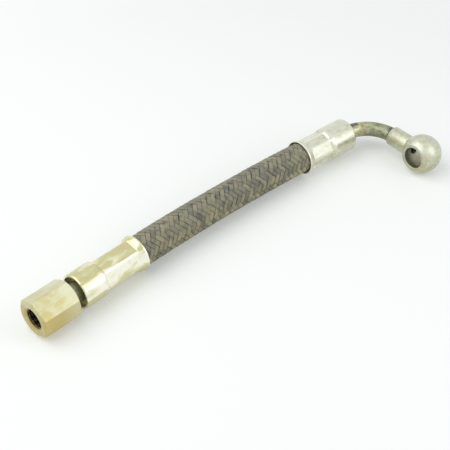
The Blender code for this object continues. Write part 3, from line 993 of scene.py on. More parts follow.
@dataclass(frozen=True)
class HexStem:
    """The hexagonal stem: a female thread in its mouth, and a barbed tail in the hose."""

    across_flats: float = 0.0220
    length: float = 0.0260
    face_radius: float = 0.0104
    chamfer_angle: float = math.radians(30.0)
    corner_turn: float = math.radians(4.2)
    corner_round: float = 0.0005
    face_round: float = 0.00015
    # How far from its ends the chamfers' curves reach over the flats, and the mouth's face
    end_reach: float = 0.0016
    face_reach: float = 0.0011
    # Painted shade on the mouth's face, for the dark reflection that it shows, with a duller turned finish
    face_painted_shade: float = 0.13
    thread_major_radius: float = 0.0070
    thread_minor_radius: float = 0.0062
    thread_pitch: float = 0.0015
    thread_depth: float = 0.0150
    relief_width: float = 0.0020
    mouth_radius: float = 0.0082
    mouth_half_angle: float = math.radians(60.0)
    # Share of the pitch that each half of a crest takes
    thread_crest_share: float = 0.125
    # Length over which the thread's last crest falls into the relief
    thread_runout: float = 0.0001
    seat_half_angle: float = math.radians(30.0)
    bore_radius: float = 0.0034
    neck_radius: float = 0.0062
    neck_fillet: float = 0.0006
    groove_radius: float = 0.0054
    flange_start: float = 0.0346
    flange_end: float = 0.0368
    shoulder: float = 0.0387
    crest_radius: float = 0.0049
    root_radius: float = 0.0044
    tail_length: float = 0.0330
    barbs: int = 5

    def flats(self, x: np.ndarray, turn: np.ndarray) -> np.ndarray:
        """Finds the radius that the six flats leave, with the bar's corners a little rounded.

        Args:
            x: The place of each point along the stem, which makes no difference.
            turn: The turn of each point from straight up.

        Returns:
            The radii.
        """
        sixth = math.pi / 3
        beside = (turn - self.corner_turn) % sixth - sixth / 2
        near = self.across_flats / 2 / np.cos(beside)
        other = self.across_flats / 2 / np.cos(sixth - np.abs(beside))
        return gentle_least(near, other, self.corner_round)

    def thread(self, x: np.ndarray, turn: np.ndarray, radius: np.ndarray) -> np.ndarray:
        """Cuts the right-handed thread's groove into the bore, where the outline is at its crests.

        Args:
            x: The place of each point along the stem.
            turn: The turn of each point from straight up.
            radius: The radius of each point before the cut.

        Returns:
            The radii after it.
        """
        phase = (x / self.thread_pitch - turn / (2 * math.pi)) % 1.0
        depth = self.thread_major_radius - self.thread_minor_radius
        flank = depth * math.tan(math.pi / 6) / self.thread_pitch
        rise = np.clip((0.5 - np.abs(phase - 0.5) - self.thread_crest_share) / flank, 0, 1)
        groove = self.thread_minor_radius + depth * rise
        in_bore = (x < self.thread_depth + TINY) & (radius < self.mouth_radius + TINY)
        return np.where(in_bore, np.maximum(radius, groove), radius)

    def outline(self) -> tuple[np.ndarray, int]:
        """Draws the stem from the mouth's face outside to its tail, and back through its bore.

        Returns:
            (x, radius) points, and the number of the first point of the bore.
        """
        corner_radius = self.across_flats / 2 / math.cos(math.pi / 6) + CLEARANCE
        chamfer = (corner_radius - self.face_radius) * math.tan(self.chamfer_angle)
        groove_start = self.flange_start - CLEARANCE
        groove_end = self.flange_end + CLEARANCE
        # The third number of a point is how far from the corner its rounding starts
        outside = softened([
            (0.0, self.mouth_radius, 0.0),
            (0.0, self.face_radius, self.face_round),
            (chamfer, corner_radius, 0.0),
            (self.length - chamfer, corner_radius, 0.0),
            (self.length, self.face_radius, self.face_round),
            (self.length, self.neck_radius + self.neck_fillet, self.neck_fillet / 2),
            (self.length + self.neck_fillet, self.neck_radius, self.neck_fillet / 2),
            (groove_start, self.neck_radius, 0.0),
            (groove_start, self.groove_radius, 0.0),
            (groove_end, self.groove_radius, 0.0),
            (groove_end, self.neck_radius, 0.0),
            (self.shoulder, self.neck_radius, 0.0),
            (self.shoulder, self.root_radius, 0.0),
        ])
        outside += barbed(self.shoulder, self.tail_length, self.barbs, self.root_radius, self.crest_radius)
        relief_end = self.thread_depth + self.relief_width
        seat_end = relief_end + (self.thread_major_radius - self.bore_radius) / math.tan(self.seat_half_angle)
        bore = [
            (self.shoulder + self.tail_length, self.bore_radius),
            (seat_end, self.bore_radius),
            (relief_end, self.thread_major_radius),
            (self.thread_depth + self.thread_runout, self.thread_major_radius),
        ]
        thread_start = (self.mouth_radius - self.thread_minor_radius) / math.tan(self.mouth_half_angle)
        threaded = divided([
            (self.thread_depth, self.thread_minor_radius),
            (thread_start, self.thread_minor_radius),
            (0.0, self.mouth_radius),
        ], self.thread_pitch / 12)
        edge = [point for point in outside if point[0] <= self.length]
        rest = outside[len(edge):]
        # Many rings where the chamfers cut the flats, and few along them
        hex_part = divided(edge, 0.0001)
        keep = (hex_part[:, 0] < self.end_reach) | (hex_part[:, 0] > self.length - self.end_reach)
        keep[::20] = True
        parts = [hex_part[keep], np.array(rest), np.array(bore), threaded[:-1]]
        return np.concatenate(parts), int(keep.sum()) + len(rest)

    def soil_and_shade(self, outline: np.ndarray, inside: np.ndarray) -> dict[str, np.ndarray]:
        """Says where painted shade and wear are on the stem.

        Args:
            outline: Its (x, radius) points.
            inside: Which of them are in the bore.

        Returns:
            How much painted shade and how much wear each point has.
        """
        x, radius = outline.T
        # Painted shade that deepens into the bore, and in the recess round the neck by the cup
        in_bore = np.interp(x, (0.0, 0.00294), (0.02, 1.0))
        round_neck = np.interp(radius, (0.0094, 0.0118), (0.6, 0.0))
        # The flats turn paler towards the far end of the hex, through the bare colour
        rubbed = np.interp(x, (0.0120, 0.0218), (0.0, 0.7))
        grime_and_shade = np.where(inside, in_bore, 0.0)
        grime_and_shade = np.where(~inside & (x < self.face_reach), self.face_painted_shade, grime_and_shade)
        grime_and_shade = np.where(~inside & (x >= self.length - TINY), round_neck, grime_and_shade)
        return {GRIME_AND_SHADE: grime_and_shade, WORN: np.where(inside, 0.0, rubbed)}

    def dress(self, place: Matrix, finish: Material) -> Object:
        """Builds the stem.

        Args:
            place: The frame of its open mouth.
            finish: Its material.

        Returns:
            The piece.
        """
        outline, bore_start = self.outline()
        values = self.soil_and_shade(outline, np.arange(len(outline)) >= bore_start)
        fine = (0.0, 0.4, 0.8, 1.2, 1.6, 2.1, 3.0, 4.5, 7.0, 10.0, 14.0, 19.0, 24.5, 30.0)
        body = Turning(outline, corner_angles(6, self.corner_turn, fine), self.flats, self.thread)
        mesh = body.mesh("hex_stem_body", values)
        made = add_piece("hex_stem_body", mesh, finish, place, "hex_stem")
        weigh_normals(made)
        return made


def weigh_normals(piece: Object) -> None:
    """Lets wide faces lead the shading of a piece, so that its flats look flat beside small rounds.

    Args:
        piece: The piece.
    """
    step = piece.modifiers.new("flat_shading", "WEIGHTED_NORMAL")
    step.keep_sharp = True
    step.weight = 80


@dataclass(frozen=True)
class Ferrule:
    """A turned sleeve, crimped over the hose. Its frame is at its flared rim and looks over it."""

    length: float
    crimp_length: float
    crimp_step: float
    crimp_radius: float
    jaws: int
    jaw_depth: float
    jaw_phase: float
    jaw_ridge: float
    end: FerruleEnd
    drum_radius: float = 0.01135
    drum_wall: float = 0.0016
    rim_radius: float = 0.01175
    rim_wall: float = 0.0006
    rim_width: float = 0.0010
    flare_length: float = 0.0048
    crimp_bore_radius: float = 0.0084
    edge_round: float = 0.0013
    cup_depth: float = 0.0042
    cup_wall: float = 0.0015
    flange_width: float = 0.0022
    groove_radius: float = 0.0054
    pipe_radius: float = 0.0050
    end_wall: float = 0.0022
    # Rise of the metal beside a jaw, for each length off it
    ridge_slope: float = 2.5
    # How dark the cup is painted, as shade in the recess, and how bare its rim and ridges are rubbed
    cup_painted_shade: float = 0.35
    rubbed: float = 0.7

    @property
    def crimp_end(self) -> float:
        """Where the crimp ends, from the rim."""
        return self.flare_length + self.crimp_length

    @property
    def jaw_radius(self) -> float:
        """How far from the axis the middle of a jaw's flat is."""
        return self.crimp_radius - self.jaw_depth

    def off_jaw(self, turn: np.ndarray) -> tuple[np.ndarray, np.ndarray]:
        """Finds how far turns are from the nearest jaw.

        Args:
            turn: The turn of each point from straight up.

        Returns:
            The angle from the jaw's middle, and the distance beside the jaw, under 0 on it.
        """
        between = 2 * math.pi / self.jaws
        beside = (turn - self.jaw_phase + between / 2) % between - between / 2
        half_width = self.jaw_radius * math.tan(between / 2) - self.jaw_ridge / 2
        return beside, np.abs(self.jaw_radius * np.tan(beside)) - half_width

    def presses(self, x: np.ndarray, turn: np.ndarray) -> np.ndarray:
        """Finds the radius that the crimping jaws leave: flats between the flare and the drum.

        Args:
            x: The place of each point along the sleeve.
            turn: The turn of each point from straight up.

        Returns:
            The radii.
        """
        beside, off_jaw = self.off_jaw(turn)
        away = np.maximum(self.flare_length - x, x - self.crimp_end)
        risen = np.maximum(away, 0.0) + self.ridge_slope * np.maximum(off_jaw, 0.0)
        return (self.jaw_radius + risen) / np.cos(beside)

    def outline(self) -> list[tuple[float, float]]:
        """Draws the sleeve from its rim outside to its end, and back through its bore.

        Returns:
            (x, radius) points.
        """
        rim_bore = self.rim_radius - self.rim_wall
        drum_bore = self.drum_radius - self.drum_wall
        # The third number of a point is how far from the corner its rounding starts
        outside = [
            (0.0, rim_bore, 0.0),
            (0.0, self.rim_radius, 0.00025),
            (self.rim_width, self.rim_radius, 0.0006),
            (self.flare_length, self.crimp_radius, 0.0014),
            (self.crimp_end, self.crimp_radius, 0.0008),
            (self.crimp_end + self.crimp_step, self.drum_radius, 0.0008),
            (self.length, self.drum_radius, self.edge_round),
        ]
        if self.end is FerruleEnd.OPEN_CUP:
            flange = self.length - self.cup_depth
            ends = [
                (self.length, self.drum_radius - self.cup_wall, 0.0003),
                (flange, self.drum_radius - self.cup_wall, 0.0002),
                (flange, self.groove_radius + CLEARANCE, 0.0),
                (flange - self.flange_width, self.groove_radius + CLEARANCE, 0.0),
                (flange - self.flange_width, drum_bore, 0.0),
            ]
        else:
            ends = [
                (self.length, self.pipe_radius + CLEARANCE, 0.0002),
                (self.length - self.end_wall, self.pipe_radius + CLEARANCE, 0.0),
                (self.length - self.end_wall, drum_bore, 0.0),
            ]
        bore = [
            (self.crimp_end + self.crimp_step, drum_bore, 0.0),
            (self.crimp_end, self.crimp_bore_radius, 0.0),
            (self.flare_length, self.crimp_bore_radius, 0.0),
            (0.0001, rim_bore - 0.0001, 0.0),
        ]
        return softened(outside + ends + bore, 6)

    def dress(self, name: str, place: Matrix, finish: Material, node: str, slot: Slot) -> Object:
        """Builds the ferrule.

        Args:
            name: The piece's name.
            place: The frame of its rim.
            finish: Its material.
            node: The node that it stands for.
            slot: The slot of its finish, which is not used.

        Returns:
            The piece.
        """
        outline = divided(self.outline(), 0.0004)
        half = 180.0 / self.jaws
        fine = (*np.arange(0.0, 7.5, 0.5), 8.5, 10.0, 12.0, 15.0, 18.5, half)
        angles = corner_angles(self.jaws, self.jaw_phase + math.pi / self.jaws, fine)
        body = Turning(outline, angles, self.presses, blend=0.0002)
        mesh = body.mesh(name, self.soil_and_shade(outline, angles))
        made = add_piece(name, mesh, finish, place, node)
        weigh_normals(made)
        return made

    def soil_and_shade(self, outline: np.ndarray, angles: np.ndarray) -> dict[str, np.ndarray]:
        """Says where painted shade and wear are on the ferrule.

        Args:
            outline: Its (x, radius) points.
            angles: The turns of its sides.

        Returns:
            How much painted shade each point of the outline has, and how worn each vertex is.
        """
        x, radius = outline.T
        at_end = x > self.length - 0.0001
        first_inside = int(np.argmax(at_end & (radius < self.drum_radius - 0.0008)))
        inside = np.arange(len(outline)) >= first_inside
        in_cup = inside & (radius < self.drum_radius - self.cup_wall + 0.0002)
        # Painted shade in the cup's recess
        grime_and_shade = np.where(in_cup, self.cup_painted_shade, 0.0)
        if self.end is FerruleEnd.CLOSED:
            # Painted shade in the corner where the closed end meets the pipe
            round_pipe = np.interp(radius - self.pipe_radius, (0.00028, 0.0014), (0.8, 0.0))
            grime_and_shade = np.where(at_end, round_pipe, grime_and_shade)
        at_rim = (x < self.rim_width) & ~inside
        in_crimp = (x > self.flare_length) & (x < self.crimp_end) & ~inside
        on_ridge = np.interp(self.off_jaw(angles)[1], (-0.0003, 0.0), (0.0, 1.0))
        worn = self.rubbed * np.maximum(at_rim[:, None], in_crimp[:, None] * on_ridge)
        return {GRIME_AND_SHADE: grime_and_shade, WORN: worn}


@dataclass(frozen=True)
class BraidedHose:
    """The hose between the ferrules, under a braid of strands that pass over two and under two."""

    nut_tuck: float = 0.0383
    eye_tuck: float = 0.0376
    free_length: float = 0.1384
    turn: float = math.radians(6.1)
    radius: float = 0.01015
    relief: float = 0.00045
    carriers: int = 24
    rows: int = 74
    braid_tuck: float = 0.0010
    yarns: int = 4
    yarn_relief: float = 0.00010
    # Faces across a float and along it
    across: int = 16
    lengthwise: int = 12
    # How far a float goes on under the next ones, in widths of a strand
    dive: float = 0.22
    # Lengths under the ferrule's rim before the grip starts, and how steeply the braid thins then
    grip_start: float = 0.0009
    grip_slope: float = 0.6
    # Mean and spread of the strands' widths, and spreads of their places and of their depths
    width_mean: float = 0.97
    width_spread: float = 0.05
    shift_spread: float = 0.04
    depth_spread: float = 0.00007
    seed: int = 7
    # How far from its middle a float stays level, in steps from carrier to carrier, how its ends
    # curve down from there, and how deep they go for each height of the relief
    level_reach: float = 0.55
    dive_power: float = 1.5
    dive_depth: float = 1.55
    # How square a float's section is, and how much of its height is rounded off at its sides
    pillow_power: float = 3.2
    pillow_share: float = 0.65
    # Painted shade at a float's ends, where it dives under, at its sides and in the grooves
    # between its yarns
    end_shade: float = 0.80
    side_shade: float = 0.75
    groove_shade: float = 0.40
    # The dark layer under the strands, in the gaps' painted shade: how deep it lies for each height
    # of the relief, how far it runs on past the lattice, and its rings and sides
    core_depth: float = 1.15
    core_spare: float = 0.002
    core_rings: int = 90
    core_sides: int = 48

    @property
    def route(self) -> Route:
        """The centreline, from the hose's end in the first ferrule."""
        return Route(((self.nut_tuck, 0.0), (self.free_length, -self.turn), (self.eye_tuck, 0.0)))

    @property
    def start(self) -> float:
        """Where the braid's lattice starts, just inside the first ferrule."""
        return self.nut_tuck - self.braid_tuck

    @property
    def row_length(self) -> float:
        """Half the length between two strands of one direction, along the hose."""
        return (self.free_length + 2 * self.braid_tuck) / self.rows

    def squeezed(self, distance: np.ndarray) -> np.ndarray:
        """Finds how much thinner the braid is where the ferrules start to grip it.

        Args:
            distance: The place of each point along the hose.

        Returns:
            How much is off the radius.
        """
        inward = np.maximum(self.nut_tuck - distance, distance - self.nut_tuck - self.free_length)
        return np.maximum(inward - self.grip_start, 0.0) * self.grip_slope

    def floats(self, chance: np.random.Generator) -> tuple[np.ndarray, dict[str, np.ndarray]]:
        """Lays every float, the stretch of a strand that shows between two dives.

        Args:
            chance: The source of the small differences between strands.

        Returns:
            The points, by float, row and column, and the values that they carry.
        """
        cells = [
            (column, row, 1 if column // 2 % 2 else -1)
            for column in range(0, self.carriers, 2)
            for row in range(-1, self.rows + 2, 2)
        ]
        column, row, lean = (np.array(part, float)[:, None, None] for part in zip(*cells))
        count = len(cells)
        along = np.linspace(-0.5 - self.dive, 1.5 + self.dive, self.lengthwise + 1)[None, :, None]
        across = np.linspace(-0.5, 0.5, self.across + 1)[None, None, :]
        width = chance.normal(self.width_mean, self.width_spread, (count, 1, 1))
        shift = chance.normal(0.0, self.shift_spread, (count, 1, 1))
        lift = chance.normal(0.0, self.depth_spread, (count, 1, 1))
        sideways = across * width + shift
        angle = (column + along + sideways + 0.5) * 2 * math.pi / self.carriers
        distance = self.start + (row + lean * (along - sideways)) * self.row_length

        # A float is highest in its middle and dives at its ends, and its section is a flat pillow
        reach = np.abs(along - 0.5)
        fall = np.clip((reach - self.level_reach) / (0.5 + self.dive), 0, 1) ** self.dive_power
        hump = 1.0 - fall * self.dive_depth
        pillow = np.sqrt(np.clip(1.0 - np.abs(2 * across) ** self.pillow_power, 0, 1))
        section = 1.0 - self.pillow_share + self.pillow_share * pillow
        groove = np.abs(np.cos(math.pi * self.yarns * (across + 0.5)))
        rise = self.relief * hump * section - self.yarn_relief * groove * hump
        radius = self.radius - self.relief + rise + np.minimum(lift, 0.0) - self.squeezed(distance)
        radius = np.minimum(radius, self.radius)

        cell_length = math.hypot(2 * math.pi * self.radius / self.carriers, self.row_length) * MM_PER_M
        number = np.arange(count, dtype=float)[:, None, None]
        on_strand = np.broadcast_arrays(along * cell_length, across * cell_length, number)
        # Painted shade where the float dives under, at its sides and in the grooves between its yarns
        low = np.interp(reach, (0.80, 1.20), (0.0, 1.0))
        edge = np.interp(np.abs(2 * across), (0.78, 1.0), (0.0, 1.0)) ** 2
        shade = self.end_shade * low + self.side_shade * edge + self.groove_shade * groove ** 4
        crevice_shade = np.clip(shade, 0, 1)
        values = {
            UNBENT: round_axis(distance, radius, angle),
            STRAND: np.stack(on_strand, axis=-1),
            CREVICE_SHADE: np.broadcast_to(crevice_shade, radius.shape),
        }
        return self.route.around(distance, radius, angle), values

    def core(self) -> tuple[np.ndarray, dict[str, np.ndarray]]:
        """Makes the dark layer under the strands, which shows only in the gaps and carries their painted
        shade.

        Returns:
            The points, by ring and side, and the values that they carry.
        """
        end = self.start + self.rows * self.row_length
        stations = np.linspace(self.start - self.core_spare, end + self.core_spare, self.core_rings)
        angles = np.linspace(0, 2 * math.pi, self.core_sides, endpoint=False)
        distance, angle = np.meshgrid(stations, angles, indexing="ij")
        radius = self.radius - self.relief * self.core_depth - self.squeezed(distance)
        straight = round_axis(distance, radius, angle)
        values = {UNBENT: straight, STRAND: straight * MM_PER_M, CREVICE_SHADE: np.ones_like(distance)}
        return self.route.around(distance, radius, angle), values

    def dress(self, place: Matrix, finish: Material) -> Object:
        """Args:
            place: The frame of the hose's end in the first ferrule.
            finish: Its material.

        Returns:
            The piece.
        """
        floats, values = self.floats(np.random.default_rng(self.seed))
        core, core_values = self.core()
        faces = patch_faces(*floats.shape[:3])
        core_faces = ring_faces(*core.shape[:2], closed=False) + floats.size // 3
        carried = {
            key: np.concatenate((value.reshape(-1, *value.shape[3:]),
                                 core_values[key].reshape(-1, *core_values[key].shape[2:])))
            for key, value in values.items()
        }
        points = np.concatenate((floats.reshape(-1, 3), core.reshape(-1, 3)))
        mesh = make_mesh("braided_hose", points, np.concatenate((faces, core_faces)), carried, 60.0)
        made = add_piece("braided_hose", mesh, finish, place, "braided_cover")
        line, _ = self.route.follow(self.nut_tuck + np.linspace(0, self.free_length, 25))
        return made


@dataclass(frozen=True)
class EyePipe:
    """The bent steel pipe between the second ferrule and the eye, with its brazed joint."""

    radius: float = 0.0050
    wall: float = 0.0010
    tail_length: float = 0.0300
    barbs: int = 4
    crest_radius: float = 0.0049
    root_radius: float = 0.0044
    tail_bore_radius: float = 0.0034
    bead_radius: float = 0.0066
    bead_width: float = 0.0022
    hose_tuck: float = 0.0376
    ferrule_length: float = 0.0426
    lead: float = 0.0020
    bend_radius: float = 0.0220
    bend_angle: float = math.radians(90.0)
    socket_depth: float = 0.0080
    fillet_leg: float = 0.0008
    # Length of the soot at the ferrule and at the eye, and the turn of its middle
    exit_soot: tuple[float, float] = (0.0112, math.radians(-20.0))
    joint_soot: tuple[float, float] = (0.0040, math.radians(5.0))
    # How dark the pipe is painted at the eye's mouth, as shade in the crease, and the length over which this
    # fades
    mouth_painted_shade: float = 0.7
    mouth_fade: float = 0.0012
    sides: int = 64
    joint_sides: int = 72

    @property
    def start(self) -> float:
        """Where the pipe's tail starts, from the rim of the ferrule."""
        return self.hose_tuck - self.tail_length

    @property
    def straight(self) -> float:
        """Length of the pipe before its bend."""
        return self.ferrule_length + self.lead - self.start

    @property
    def bend_end(self) -> float:
        """Where the bend ends, along the pipe."""
        return self.straight + self.bend_radius * self.bend_angle

    @property
    def route(self) -> Route:
        """The pipe's centreline, from the tip of its tail."""
        bend = self.bend_radius * self.bend_angle
        return Route(((self.straight, 0.0), (bend, -self.bend_angle), (self.socket_depth - CLEARANCE, 0.0)))

    @staticmethod
    def soot(away: np.ndarray, turn: np.ndarray, length: float, side: float) -> np.ndarray:
        """Finds the soot that clings to one side of the pipe, next to what it runs into.

        Args:
            away: How far each point is from the start of the patch, along the pipe.
            turn: The turn of each point from straight up.
            length: How far the patch reaches.
            side: The turn of the patch's middle.

        Returns:
            How sooty each point is, from 0 to 0.9.
        """
        across = np.interp(np.cos(turn - side), (0.72, 0.84), (0.0, 0.9))
        fading = np.interp(away, (length - 0.001, length), (1.0, 0.0))
        hidden_start = -0.002
        return across * fading * (away > hidden_start)

    def soil_and_shade(self, distance: np.ndarray, turn: np.ndarray, radius: np.ndarray) -> dict[str, np.ndarray]:
        """Says where soot and painted shade are on the pipe, which isn't worn anywhere.

        Args:
            distance: The place of each point along the pipe.
            turn: The turn of each point from straight up.
            radius: The radius of each point.

        Returns:
            How much soot and painted shade, and how much wear, each point has.
        """
        from_exit = distance - self.ferrule_length + self.start
        at_exit = self.soot(from_exit, turn, *self.exit_soot)
        at_joint = self.soot(self.bend_end - distance, turn, *self.joint_soot)
        # Painted shade in the crease where the pipe enters the eye's mouth
        at_mouth = self.mouth_painted_shade * np.exp(-np.abs(distance - self.bend_end) / self.mouth_fade)
        # Painted shade rising from 10 to 22 mm past the ferrule, where the surface also turns rougher
        dulled_and_shaded = np.interp(from_exit, (0.010, 0.022), (0.0, 0.5))
        outside = np.maximum.reduce((at_exit, at_joint, at_mouth, dulled_and_shaded))
        # Inside the pipe it is painted wholly dark, as shade
        grime_and_shade = np.where(radius > self.radius - TINY, outside, 1.0)
        return {GRIME_AND_SHADE: grime_and_shade, WORN: np.zeros_like(grime_and_shade)}

    def dress(self, place: Matrix, finish: Material) -> Object:
        """Builds the pipe.

        Args:
            place: The frame of the second ferrule's rim.
            finish: Its material.

        Returns:
            The piece.
        """
        end = self.bend_end + self.socket_depth - CLEARANCE
        bead_start = self.tail_length + CLEARANCE
        bead_end = bead_start + self.bead_width
        bore = self.radius - self.wall
        tail = [
            (0.0, self.root_radius),
            *barbed(0.0, self.tail_length, self.barbs, self.root_radius, self.crest_radius),
            (bead_start, self.radius),
            (bead_start + self.bead_width / 4, self.bead_radius),
            (bead_end - self.bead_width / 4, self.bead_radius),
            (bead_end, self.radius),
        ]
        outside = divided([(bead_end + 0.0001, self.radius), (end, self.radius)], 0.0008)
        inside = divided([
            (end, bore),
            (bead_end, bore),
            (bead_start, self.tail_bore_radius),
            (0.0, self.tail_bore_radius),
        ], 0.003)
        stations = np.concatenate((tail, outside, inside))
        angles = np.linspace(0, 2 * math.pi, self.sides, endpoint=False)
        distance, turn = np.meshgrid(stations[:, 0], angles, indexing="ij")
        radius = np.repeat(stations[:, 1:2], len(angles), axis=1)
        values = {UNBENT: round_axis(distance, radius, turn), **self.soil_and_shade(distance, turn, radius)}
        points = self.route.around(distance, radius, turn)
        mesh = make_mesh("eye_pipe", points, ring_faces(*distance.shape, closed=True), values, 40.0)
        tip = place @ Matrix.Translation((self.start, 0.0, 0.0))
        return add_piece("eye_pipe", mesh, finish, tip, "bent_pipe")

    def dress_joint(self, place: Matrix, braze: Material) -> Object:
        """Builds the ring of brazing metal where the pipe enters the eye.

        Args:
            place: The frame of the second ferrule's rim.
            braze: Its material.

        Returns:
            The piece.
        """
        pipe_radius = self.radius + CLEARANCE
        centre_x = -CLEARANCE - self.fillet_leg
        centre_radius = pipe_radius + self.fillet_leg
        curve = [
            (centre_x + self.fillet_leg * math.cos(a), centre_radius + self.fillet_leg * math.sin(a))
            for a in np.linspace(-math.pi / 2, 0, 9)
        ]
        outline = np.array([*curve, (-CLEARANCE, pipe_radius)])
        ring = Turning(outline, np.linspace(0, 2 * math.pi, self.joint_sides, endpoint=False))
        mesh = ring.mesh("brazed_joint", {})
        return add_piece("brazed_joint", mesh, braze, self.mouth(place), "brazed_fillet")

    def mouth(self, place: Matrix) -> Matrix:
        """The frame of the neck's mouth, where the pipe enters the eye."""
        return place @ Matrix.Translation((self.start, 0.0, 0.0)) @ self.route.place(self.bend_end)


@dataclass(frozen=True)
class RingEye:
    """The ring eye: a ball with two flat sealing faces and a cross bore, on a drilled neck."""

    ball_radius: float = 0.0130
    width: float = 0.0184
    bore_radius: float = 0.0070
    bore_chamfer: float = 0.0004
    roll: float = math.radians(-4.0)
    neck_radius: float = 0.00665
    neck_reach: float = 0.0267
    neck_chamfer: float = 0.0005
    neck_blend: float = 0.0009
    socket_depth: float = 0.0080
    pipe_radius: float = 0.0050
    cross_hole_radius: float = 0.0034
    face_edge: float = 0.0002
    # Painted shade on the flat faces, for the dark reflection that they show
    face_painted_shade: float = 0.12
    # How bare the bore's rim is rubbed, and how far from its edge
    rubbed: float = 0.7
    rub_reach: float = 0.0003
    sides: int = 144

    def neck_outline(self) -> list[tuple[float, float]]:
        """Draws the ball and its drilled neck round the neck's axis, from the ball's far side.

        Returns:
            (x, radius) points.
        """
        blend = self.neck_blend
        lean = math.asin((self.neck_radius + blend) / (self.ball_radius + blend))
        centre_x = (self.ball_radius + blend) * math.cos(lean)
        points = [
            (-self.ball_radius * math.cos(a), self.ball_radius * math.sin(a))
            for a in np.linspace(0, math.pi - lean, 72)
        ]
        points += [
            (centre_x - blend * math.cos(a), self.neck_radius + blend - blend * math.sin(a))
            for a in np.linspace(lean, math.pi / 2, 8)[1:]
        ]
        hole = self.neck_reach - self.socket_depth
        points += [
            (self.neck_reach - self.neck_chamfer, self.neck_radius),
            (self.neck_reach - self.neck_chamfer * 0.3, self.neck_radius - self.neck_chamfer * 0.3),
            (self.neck_reach, self.neck_radius - self.neck_chamfer),
            (self.neck_reach, self.pipe_radius + CLEARANCE),
            (hole, self.pipe_radius + CLEARANCE),
            (hole, self.cross_hole_radius),
            (self.bore_radius / 2, self.cross_hole_radius),
            (self.bore_radius / 2, 0.0),
        ]
        return points

    def spool_outline(self) -> list[tuple[float, float]]:
        """Draws what the faces and the bore take away, round the bore's axis.

        Returns:
            (x, radius) points.
        """
        half = self.width / 2
        far = 2 * self.ball_radius
        rim = math.sqrt(self.ball_radius ** 2 - half ** 2)
        # The edge between a face and the ball is a little rounded
        side = [
            (far, 0.0),
            (far, far),
            (half - self.face_edge * 1.2, far),
            (half - self.face_edge, rim + self.face_edge * 1.6),
            (half - self.face_edge * 0.3, rim + self.face_edge * 0.2),
            (half, rim - self.face_edge * 1.5),
            (half, self.bore_radius + self.bore_chamfer),
            (half - self.bore_chamfer, self.bore_radius),
        ]
        bore_end = half - self.bore_chamfer
        bore = [(float(x), self.bore_radius) for x in np.linspace(bore_end, -bore_end, 24)[1:-1]]
        return side + bore + [(-x, radius) for x, radius in side[::-1]]

    @staticmethod
    def lathe(outline: Sequence[tuple[float, float]], sides: int) -> bmesh.types.BMesh:
        """Turns an outline from axis to axis round X.

        Args:
            outline: (x, radius) points.
            sides: How many sides the body has.

        Returns:
            The body.
        """
        body = bmesh.new()
        points = [body.verts.new((x, 0.0, radius)) for x, radius in outline]
        edges = [body.edges.new(run) for run in zip(points, points[1:])]
        bmesh.ops.spin(body, geom=points + edges, cent=(0.0, 0.0, 0.0), axis=(1.0, 0.0, 0.0),
                       angle=2 * math.pi, steps=sides, use_merge=True)
        bmesh.ops.remove_doubles(body, verts=body.verts, dist=TINY / 10)
        bmesh.ops.recalc_face_normals(body, faces=body.faces)
        return body

    @staticmethod
    def scratch(name: str, body: bmesh.types.BMesh) -> Object:
        """Puts a body in the scene for a Boolean step.

        Args:
            name: The object's name.
            body: The body, which is freed.

        Returns:
            The object.
        """
        mesh = bpy.data.meshes.new(name)
        body.to_mesh(mesh)
        body.free()
        made = bpy.data.objects.new(name, mesh)
        bpy.context.scene.collection.objects.link(made)
        return made

    def dress(self, mouth: Matrix, finish: Material) -> Object:
        """Builds the eye.

        Args:
            mouth: The frame of the neck's mouth, its X axis towards the eye.
            finish: Its material.

        Returns:
            The piece.
        """
        ball = self.lathe(self.neck_outline(), self.sides)
        bmesh.ops.rotate(ball, verts=ball.verts, matrix=Matrix.Rotation(math.pi / 2, 3, "Z"))
        blank = self.scratch("eye_blank", ball)
        spool = self.scratch("eye_spool", self.lathe(self.spool_outline(), self.sides))
        cut = blank.modifiers.new("faces_and_bore", "BOOLEAN")
        cut.operation = "DIFFERENCE"
        cut.object = spool
        graph = bpy.context.evaluated_depsgraph_get()
        mesh = bpy.data.meshes.new_from_object(blank.evaluated_get(graph))
        for guide in (blank, spool):
            spent = guide.data
            bpy.data.objects.remove(guide)
            bpy.data.meshes.remove(spent)
        mesh.name = "ring_eye_body"
        self.carry_values(mesh)
        mesh.shade_smooth()
        mesh.set_sharp_from_angle(angle=math.radians(24.0))
        place = (mouth @ Matrix.Translation((self.neck_reach, 0.0, 0.0))
                 @ Matrix.Rotation(math.pi / 2, 4, "Z") @ Matrix.Rotation(-self.roll, 4, "Y"))
        return add_piece("ring_eye_body", mesh, finish, place, "ring_eye")

    def carry_values(self, mesh: Mesh) -> None:
        """Writes where painted shade, a painted highlight and wear are on the eye.

        Args:
            mesh: The eye's mesh, its bore along X and its neck along Y.
        """
        points = np.zeros(len(mesh.vertices) * 3)
        mesh.vertices.foreach_get("co", points)
        points = points.reshape(-1, 3)
        x, y, z = points.T
        from_bore = np.hypot(y, z)
        from_neck = np.hypot(x, z)
        half = self.width / 2
        slack = 10 * TINY
        in_bore = (from_bore < self.bore_radius + slack) & (np.abs(x) < half)
        in_hole = (y > 0) & (from_neck < self.pipe_radius + CLEARANCE + slack) & ~in_bore
        on_face = (np.abs(x) > half - slack) & (from_bore < self.ball_radius)
        # Painted shade at the neck's mouth, round the pipe
        at_mouth = np.interp(y - self.neck_reach, (-0.0007, 0.0), (0.0, 0.3))
        # Painted shade in the bore, darkest towards its ends, which leaves a painted highlight in its middle
        in_wall = np.interp(np.abs(x), (0.0030, 0.00635), (0.08, 0.75))
        outside = np.where(on_face, self.face_painted_shade, at_mouth)
